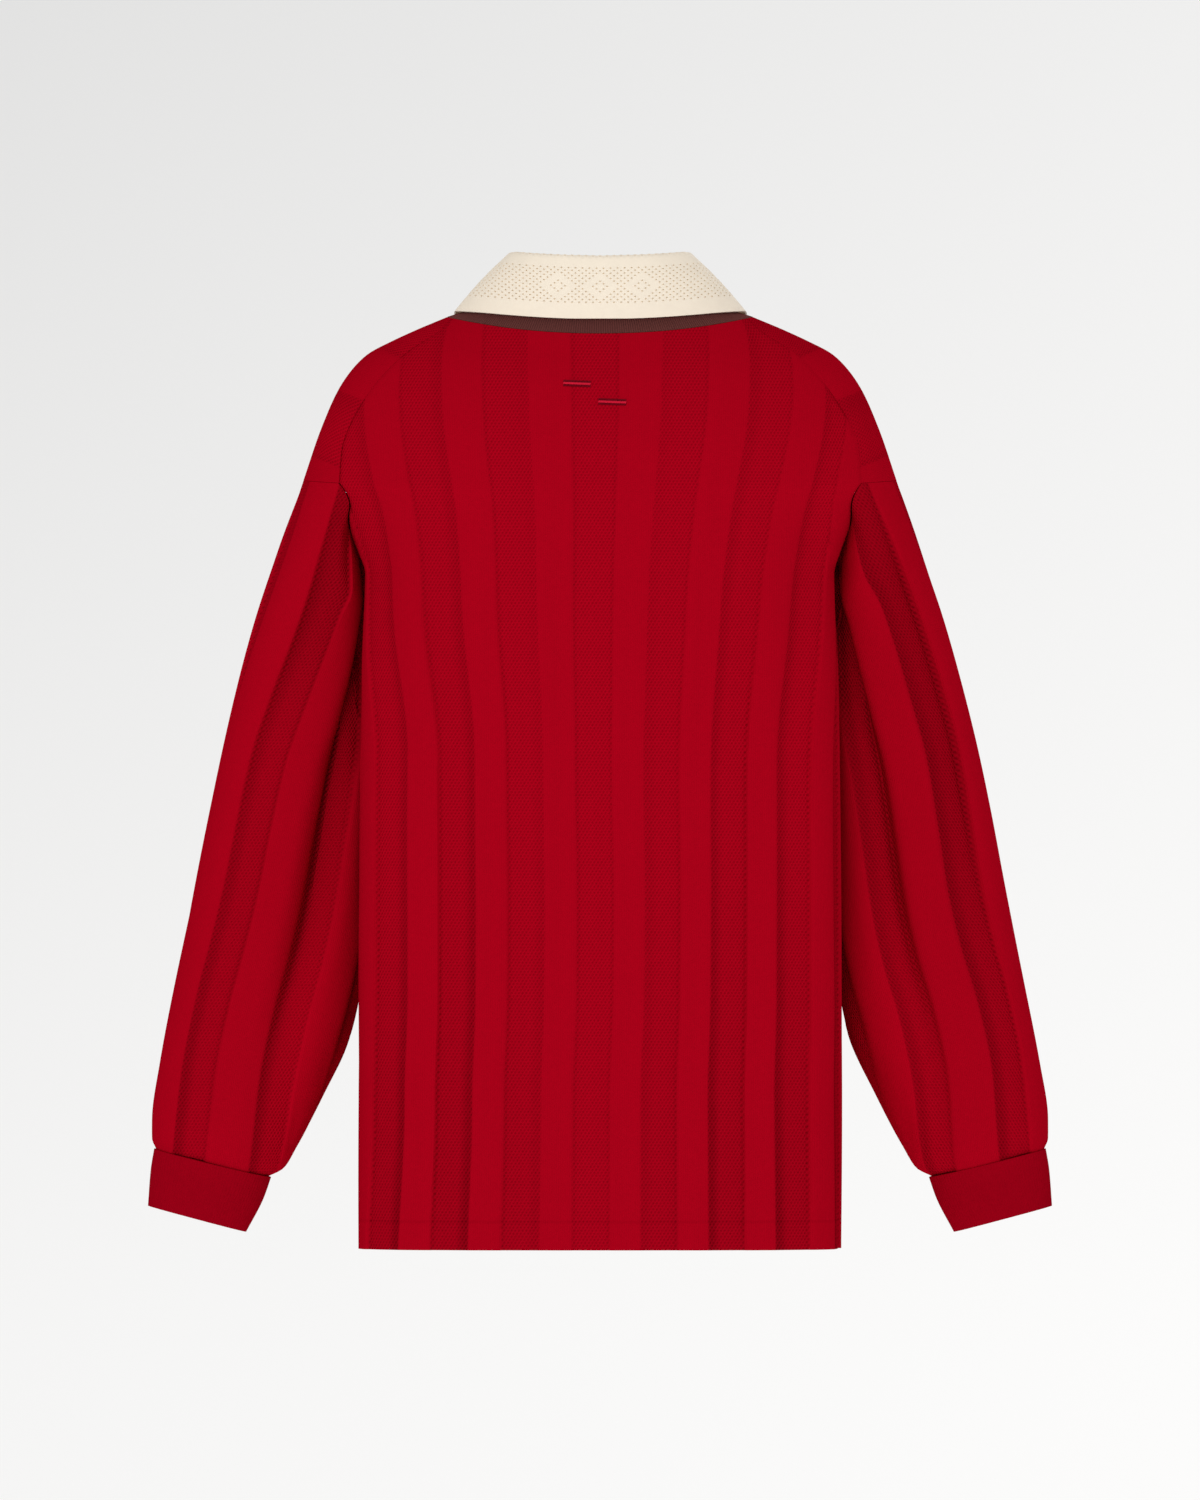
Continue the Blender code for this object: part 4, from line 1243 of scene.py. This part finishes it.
# %% Collar form
CollarStation = namedtuple("CollarStation", "share fold_x fold_y fold_z edge_share edge_down")
COLLAR = [
    CollarStation(0.000, 0.0000, -0.0540, 0.0478, 0.000, -0.0117),
    CollarStation(0.150, 0.0300, -0.0510, 0.0487, 0.150, -0.0112),
    CollarStation(0.280, 0.0540, -0.0390, 0.0502, 0.280, -0.0098),
    CollarStation(0.385, 0.0665, -0.0220, 0.0514, 0.385, -0.0080),
    CollarStation(0.457, 0.0700, -0.0040, 0.0505, 0.457, -0.0062),
    CollarStation(0.560, 0.0690, 0.0160, 0.0400, 0.560, -0.0020),
    CollarStation(0.700, 0.0600, 0.0340, 0.0100, 0.690, 0.0120),
    CollarStation(0.840, 0.0370, 0.0500, -0.0270, 0.800, 0.0300),
    CollarStation(0.985, 0.0060, 0.0600, -0.0560, 0.900, 0.0450),
]
COLLAR_COLUMNS = 32
FOLD_RADIUS = 0.0022
LEAF_LIFT = 0.0030
LEAF_CROWN = 0.0015
STAND_GAP = 0.0006
NEAR_SHARE = 0.01


def neck_line(share, side):
    """A line from the top of the neckband down over the neckline and the cloth below it."""
    rows = np.vstack([body.points(i, [share * body.runs[i][-1]], side)[0] for i in range(body.drop)])
    return np.vstack([neck_edges(np.array([share * side if share else 0.0]))[0], rows])


def lifted_edge(share, down, side):
    here, next_to = neck_line(share, side), neck_line(share + NEAR_SHARE, side)
    place = np.linalg.norm(here[1] - here[0]) + down
    spots = along_line(here, [place, place + PROBE])
    beside = along_line(next_to, [place])[0]
    normal = unit(np.cross(beside - spots[0], spots[1] - spots[0]) * -side)
    return spots[0] + normal * LEAF_LIFT


TURN_STEPS = 6
LEAF_STEPS = 6


def collar_profile(base, fold, edge, along):
    """One section of the collar: up the stand, over the fold and down the leaf."""
    down = (base + edge) / 2 - fold
    up = -unit(down - along * np.dot(down, along))
    out = edge - base
    out = unit(out - along * np.dot(out, along) - up * np.dot(out, up))
    centre = fold - up * FOLD_RADIUS
    turn = [
        centre + FOLD_RADIUS * (up * math.sin(a) - out * math.cos(a))
        for a in np.linspace(0, math.pi, TURN_STEPS + 1)
    ]
    base = base + unit(turn[0] - base) * STAND_GAP
    leaf = [
        turn[-1] + (edge - turn[-1]) * t + out * LEAF_CROWN * math.sin(math.pi * t)
        for t in np.arange(1, LEAF_STEPS + 1) / LEAF_STEPS
    ]
    return np.array([base, (base + turn[0]) / 2] + turn + leaf)


# %% Collar lattice
LATTICE_STEP = 0.00277
HALF_COLUMNS = 76
STAND_ROWS = 20
LEAF_ROWS = 25
FINE_COLUMNS = 1200
TURNED = 1.4
EVEN_REACH = 0.10


def column_places(end):
    """Even steps out from the middle of the back, and beyond its reach steps that fill the way to the end."""
    places = np.arange(HALF_COLUMNS + 1) * LATTICE_STEP
    room = (end - EVEN_REACH) / (places[-1] - EVEN_REACH)
    return np.where(places > EVEN_REACH, EVEN_REACH + (places - EVEN_REACH) * room, places)


def collar_rows():
    """Lines along the collar, from the foot of the stand over the fold to the leaf's edge."""
    last = COLLAR[-1].share
    shares = np.linspace(-last, last, COLLAR_COLUMNS + 1)
    read = {c: table_at(COLLAR, c, "share", abs(shares)) for c in CollarStation._fields}
    folds = np.stack([read["fold_x"] * np.sign(shares), read["fold_y"], read["fold_z"]], axis=1)
    sections = []
    for k, share in enumerate(shares):
        side = 1 if share >= 0 else -1
        base = neck_edges(np.array([share]))[0][0]
        edge = lifted_edge(read["edge_share"][k], read["edge_down"][k], side)
        along = unit(folds[min(k + 1, COLLAR_COLUMNS)] - folds[max(k - 1, 0)])
        sections.append(collar_profile(base, folds[k], edge, along))
    fine = smooth(shares, np.array(sections), np.linspace(-last, last, FINE_COLUMNS + 1))
    columns = []
    for section in fine:
        run = lengths(section)
        top = run[2 + TURN_STEPS // 2]
        stand, leaf = np.linspace(0, top, STAND_ROWS + 1)[:-1], np.linspace(top, run[-1], LEAF_ROWS + 1)
        columns.append(along_line(section, np.concatenate([stand, leaf])))
    return np.array(columns).transpose(1, 0, 2)


def collar_lattice():
    """Points in rows and columns. The columns stand upright where the collar is seen from behind."""
    grid = []
    for line in collar_rows():
        gap = np.diff(line, axis=0)
        apart = np.maximum(abs(gap[:, 0]), np.linalg.norm(gap, axis=1) / TURNED)
        run = totals(apart)
        run -= run[FINE_COLUMNS // 2]
        places = np.concatenate([-column_places(-run[0])[:0:-1], column_places(run[-1])])
        grid.append(np.stack([np.interp(places, run, line[:, c]) for c in range(3)], axis=1))
    return np.array(grid)


lattice = collar_lattice()
print("collar lattice", lattice.shape[:2])

# %% [markdown]
# Where the lattice is open: the fold keeps a row of eyelets, a solid strip follows, then the net, and a
# solid band closes the lower edge. In the middle of the back the net is closed along three small lozenges.

# %% Collar openings
EDGE_BAND_ROWS = 6
END_BAND_COLUMNS = 5
FOLD_NET_ROWS = 1
STRIP_ROWS = 5
LOZENGES_A_SIDE = 1
LOZENGE_EVERY = 12
LOZENGE_RADIUS = 4
MIDDLE_ROW = 13


def diamond_faces(rows, columns):
    """Diamonds of a lattice: each is centred on an odd point and joins the four even points round it."""
    faces, centres = [], []
    for i in range(rows + 1):
        for j in range(1 - i % 2, columns + 1, 2):
            around = [(i - 1, j), (i, j - 1), (i + 1, j), (i, j + 1)]
            inside = [p for p in around if 0 <= p[0] <= rows and 0 <= p[1] <= columns]
            if len(inside) >= 3:
                faces.append(inside)
                centres.append((i, j))
    return faces, np.array(centres)


def is_open(i, j, rows, columns):
    """Whether the diamond at this row and column has an eyelet."""
    from_edge, from_fold = rows - i, i - STAND_ROWS
    if from_edge < EDGE_BAND_ROWS or from_fold < 1 or min(j, columns - j) < END_BAND_COLUMNS:
        return False
    if FOLD_NET_ROWS < from_fold < FOLD_NET_ROWS + STRIP_ROWS:
        return False
    across = abs(j - columns / 2)
    nearest = min(round(across / LOZENGE_EVERY), LOZENGES_A_SIDE) * LOZENGE_EVERY
    away = abs(across - nearest) + abs(from_fold - MIDDLE_ROW)
    return away not in (0, LOZENGE_RADIUS)


def collar_mesh():
    rows, columns = lattice.shape[0] - 1, lattice.shape[1] - 1
    faces, centres = diamond_faces(rows, columns)
    index = {}
    for face in faces:
        for point in face:
            index.setdefault(point, len(index))
    mesh = bpy.data.meshes.new("collar_openwork")
    points = [lattice[p].tolist() for p in index]
    mesh.from_pydata(points, [], [[index[p] for p in face] for face in faces])
    layer = mesh.uv_layers.new(name="cloth")
    uv = [(p[1] * LATTICE_STEP, p[0] * LATTICE_STEP) for face in faces for p in face]
    layer.data.foreach_set("uv", np.array(uv).ravel())
    holes = [bool(is_open(i, j, rows, columns)) for i, j in centres]
    mark(mesh, "open", "BOOLEAN", holes, "FACE")
    print("eyelets", sum(holes), "of", len(faces))
    return mesh


def openwork_group():
    group, graph, (cloth_in, share, material) = node_group(
        "openwork", {"Hole share": "NodeSocketFloat", "Material": "NodeSocketMaterial"}
    )
    opened = attribute(graph, "open", "BOOLEAN")
    pull = {"Mesh": cloth_in, "Selection": opened, "Offset Scale": 0.0, "Individual": True}
    pulled = graph.add("GeometryNodeExtrudeMesh", {"mode": "FACES"}, pull)
    top = graph.others(pulled, "Top")
    shrink = {"Geometry": pulled, "Selection": top, "Scale": share}
    inset = graph.add("GeometryNodeScaleElements", {"domain": "FACE"}, shrink)
    cut = graph.add("GeometryNodeDeleteGeometry", {"domain": "FACE"}, {"Geometry": inset, "Selection": top})
    finish_group(graph, cut, material)
    return group


# %% Cream yarn
HOLE_SHARE = 0.34
STAND_GLOW = 0.28
YARN_ACROSS = 0.0009
YARN_DOWN = 0.0012
YARN_BUMP = 0.0001


def cream_yarn():
    """Soft cotton: fine ridges of yarn, and on the stand a painted glow for the light that comes through the
    thin leaf.
    """
    material, graph, shader = surface("cream_openwork", roughness=0.75, specular=0.25, tint=CREAM_TINT)
    _, across, down = cloth_place(graph)
    waves = (across * (2 * math.pi / YARN_ACROSS)).sin(), (down * (2 * math.pi / YARN_DOWN)).sin()
    ridges = waves[0] * 0.5 + waves[1] * 0.5
    emboss(graph, shader, ridges, YARN_BUMP, strength=0.5)
    fleck = graph.sprinkled(scale=90.0, detail=3.0)
    dye(graph, shader, CREAM, 1.0 + (fleck - 0.5) * 0.08 + ridges * 0.03)
    fold = STAND_ROWS * LATTICE_STEP
    behind = 1.0 - down.step(fold - LATTICE_STEP * 2, fold)
    # Painted glow on the stand, standing in for light that passes through the leaf.
    shader.inputs["Emission Strength"].default_value = 1.0
    dye(graph, shader, CREAM, behind * STAND_GLOW, into="Emission Color")
    return material


CREAM_YARN = cream_yarn()
collar = cloth("collar_openwork", collar_mesh(), 0, CREAM_YARN)
apply_group(collar, openwork_group(), **{"Hole share": HOLE_SHARE, "Material": CREAM_YARN})
walled(collar, COLLAR_WALL)

# %% [markdown]
# ## Bar tacks
# Two short bars of stitches lie on the back below the collar. Each is a raised row of small stitches side by
# side between two lower rows of thread painted dark as the shadow beside the bar, so a geometry node tree
# puts one stitch on every point of a line and turns it with the cloth.

# %% Stitches by geometry nodes
def stitch_group():
    sizes = {label: "NodeSocketFloat" for label in ("Length", "Width", "Height")}
    group, graph, (points, long, wide, high, material) = node_group(
        "stitches", {**sizes, "Material": "NodeSocketMaterial"}
    )
    ball = graph.add("GeometryNodeMeshUVSphere", None, {"Segments": 8, "Rings": 5, "Radius": 0.5})
    size = graph.add("ShaderNodeCombineXYZ", None, {0: long, 1: wide, 2: high})
    shaped = graph.add("GeometryNodeTransform", None, {"Geometry": ball, "Scale": size})
    facing, along = (attribute(graph, label, "FLOAT_VECTOR") for label in ("facing", "along"))
    turn = "FunctionNodeAlignRotationToVector"
    upright = graph.add(turn, {"axis": "Z"}, {"Vector": facing})
    turned = graph.add(turn, {"axis": "X", "pivot_axis": "Z"}, {"Rotation": upright, "Vector": along})
    spots = {"Points": points, "Instance": shaped, "Rotation": turned}
    finish_group(graph, graph.add("GeometryNodeInstanceOnPoints", None, spots), material)
    return group


STITCHES = stitch_group()


def stitches(name, spots, facing, along, size, material, sunken):
    """One stitch at every spot, lying on the cloth. Stitches that stand for shadow are painted darker by an
    attribute.
    """
    mesh = bpy.data.meshes.new(name)
    mesh.from_pydata([list(map(float, s)) for s in spots], [], [])
    mark(mesh, "facing", "FLOAT_VECTOR", facing)
    mark(mesh, "along", "FLOAT_VECTOR", along)
    mark(mesh, "sunken", "FLOAT", sunken)
    piece = placed(name, mesh)
    length, width, height = size
    apply_group(piece, STITCHES, Length=length, Width=width, Height=height, Material=material)
    piece.data.shade_smooth()
    return piece


# %% Bar tacks
Tack = namedtuple("Tack", "name left_x right_x z tilt")
TACKS = [
    Tack("tack_upper", -0.0285, -0.0079, -0.0546, 0.0008),
    Tack("tack_lower", -0.0008, 0.0202, -0.0692, 0.0008),
]
TackRow = namedtuple("TackRow", "rise lift sunken")
# The two outer rows of a tack are painted dark as the shadow beside the bar; the middle row is the raised
# bar.
TACK_ROWS = [TackRow(0.0017, 0.0003, 1.0), TackRow(-0.0014, 0.0003, 1.0), TackRow(-0.0003, 0.0014, 0.0)]
TACK_STITCHES = 26
STITCH_SIZE = (0.0024, 0.0010, 0.0014)
STITCH_ALONG = (0.35, 0.0, 1.0)
PAINTED_SHADOW_DARKNESS = 0.75


def thread(name, colour):
    material, graph, shader = surface(name, roughness=0.6, specular=0.2, tint=RED_TINT)
    fleck = graph.sprinkled(scale=900.0, detail=2.0)
    sunken = graph.add("ShaderNodeAttribute", {"attribute_name": "sunken"}, out=2)
    # Stitches marked by the attribute are painted darker, as the shadow beside the bar.
    dye(graph, shader, colour, 0.9 + fleck * 0.2 - sunken * PAINTED_SHADOW_DARKNESS)
    emboss(graph, shader, fleck, YARN_BUMP, strength=0.6)
    return material


TACK_THREAD = thread("tack_thread", TACK_LIGHT)
back_surface = BVHTree.FromObject(back, bpy.context.evaluated_depsgraph_get())


def on_back(x, z, lift):
    """The spot on the back panel at this width and height, and which way the cloth faces there."""
    spot, facing, _, _ = back_surface.ray_cast(Vector((x, -1.0, z)), Vector((0, 1, 0)))
    return spot + facing * lift, facing


def bar_tack(tack):
    spots, facings, sunken = [], [], []
    for row in TACK_ROWS:
        for share in np.linspace(0, 1, TACK_STITCHES):
            x = tack.left_x + (tack.right_x - tack.left_x) * share
            spot, facing = on_back(x, tack.z - tack.tilt * share + row.rise, row.lift)
            spots.append(spot)
            facings.append(facing)
            sunken.append(row.sunken)
    along = [STITCH_ALONG] * len(spots)
    return stitches(f"{tack.name}_thread", spots, facings, along, STITCH_SIZE, TACK_THREAD, sunken)


tacks = {tack.name: bar_tack(tack) for tack in TACKS}
print("tack faces", {name: len(piece.data.polygons) for name, piece in tacks.items()})

# %% [markdown]
# ## What each piece stands for
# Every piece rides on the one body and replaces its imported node, and every piece of cloth says what flat
# shape it was cut to. The flat sizes are measured from the form: the width of the cloth laid flat, its
# length, and the area that is left once the neck and armholes are cut out.

# %% Declarations
def area_of(piece):
    """The area of one face of the cloth's wall."""
    count = len(piece.data.polygons)
    areas = np.empty(count)
    piece.data.polygons.foreach_get("area", areas)
    return float(areas.sum()) / 2


def declare(piece, node, flat, area=None):
    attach(piece, "root")
    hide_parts(node)
    if flat:
        cut = area or flat[0] * flat[1]
        print(piece.name, "measured", round(area_of(piece), 4), "flat", round(cut, 4), "m2")


declare(back, "back", (0.53, 0.73), 0.365)
declare(front, "front", (0.53, 0.74), 0.360)
for side, word in SIDES:
    declare(sleeves[side], f"sleeve_{word}", (0.40, 0.53), 0.195)
    declare(cuffs[side], f"cuff_{word}", (0.31, 0.056))
declare(band, "neckband", (0.66, 0.028))
declare(collar, "collar", (0.42, 0.125))
for name, piece in tacks.items():
    declare(piece, name, None)

# %% [markdown]
# ## Studio
# A pale sweep below and far behind, so that a camera going round the garment stays inside it, a broad soft
# light from the camera's side, a weaker one from behind and a white world that fills the shadows. The lens is
# long and far away, so that the garment keeps its true outline. The sweep glows a little by itself, more
# towards the right and the bottom. The standard view keeps the dye as saturated as it is.

# %% Sweep, light and camera
SWEEP_PROFILE = [(-26.0, -3.2), (0.0, -3.2), (18.0, -3.2), (19.3, -2.9), (20.0, -2.2), (20.0, 12.0)]
SWEEP_HALF_WIDTH = 28.0
SWEEP_COLUMNS = 13
SWEEP_ROWS = 60
SWEEP_GREY = (0.30, 0.30, 0.30, 1)
SWEEP_LIGHT = (1.0, 0.997, 0.99)
GLOW = 0.530
GLOW_RIGHT = 0.103
GLOW_LOW = 0.168
GLOW_CORNER = 0.05
GLOW_HALF_WIDTH = 1.27
GLOW_TOP = 1.242
GLOW_HEIGHT = 3.172


def sweep():
    line = np.array(SWEEP_PROFILE)
    run = totals(np.hypot(*np.diff(line, axis=0).T))
    at = smooth(run, line, np.linspace(0, run[-1], SWEEP_ROWS))
    across = np.linspace(-SWEEP_HALF_WIDTH, SWEEP_HALF_WIDTH, SWEEP_COLUMNS)
    grid = np.array([[(x, y, z) for x in across] for y, z in at])
    mesh, _ = grid_mesh("sweep", grid, grid[..., :2])
    material, graph, shader = surface("pale_sweep", roughness=0.9, specular=0.0, tint=(1, 1, 1))
    shader.inputs["Base Color"].default_value = SWEEP_GREY
    shader.inputs["Emission Strength"].default_value = 1.0
    where = graph.add("ShaderNodeTexCoord", out="Object")
    x = graph.add("ShaderNodeSeparateXYZ", None, {0: where})
    right = ((x + GLOW_HALF_WIDTH) / (2 * GLOW_HALF_WIDTH)).held(0.0, 1.0)
    low = ((GLOW_TOP - graph.others(x, 2)) / GLOW_HEIGHT).held(0.0, 1.2)
    tone = right * GLOW_RIGHT + low * GLOW_LOW - right * low * GLOW_CORNER + GLOW
    dye(graph, shader, SWEEP_LIGHT, tone, into="Emission Color")
    mesh.materials.append(material)
    mesh.shade_smooth()
    placed("sweep", mesh)


Lamp = namedtuple("Lamp", "name place target size power")
LAMPS = [
    Lamp("key", (-0.9, -5.0, 1.2), (0, 0, -0.35), 2.6, 80),
    Lamp("behind", (1.5, 3.5, 2.5), (0, 0, -0.3), 3.0, 30),
]


def area_light(lamp):
    light = bpy.data.lights.new(lamp.name, "AREA")
    light.shape = "DISK"
    light.size, light.energy = lamp.size, lamp.power
    made = placed(lamp.name, light)
    made.location = lamp.place
    made.rotation_euler = (Vector(lamp.target) - Vector(lamp.place)).to_track_quat("-Z", "Y").to_euler()


CAMERA_DISTANCE = 12.0
FRAME_HEIGHT = 1.188
FRAME_MIDDLE_Z = -0.3437
FRAME_DEPTH_Y = -0.04
SENSOR = 36.0
WORLD_STRENGTH = 0.62


def camera():
    data = bpy.data.cameras.new("camera")
    data.sensor_width = SENSOR
    data.lens = SENSOR * CAMERA_DISTANCE / FRAME_HEIGHT
    made = placed("camera", data)
    made.location = (0.0, FRAME_DEPTH_Y - CAMERA_DISTANCE, FRAME_MIDDLE_Z)
    made.rotation_euler = (math.pi / 2, 0.0, 0.0)
    bpy.context.scene.camera = made


def world():
    made = bpy.data.worlds.new("studio")
    made.use_nodes = True
    background = made.node_tree.nodes["Background"].inputs
    background["Color"].default_value = (1, 1, 1, 1)
    background["Strength"].default_value = WORLD_STRENGTH
    bpy.context.scene.world = made


sweep()
camera()
world()
for lamp in LAMPS:
    area_light(lamp)
bpy.context.scene.view_settings.view_transform = "Standard"
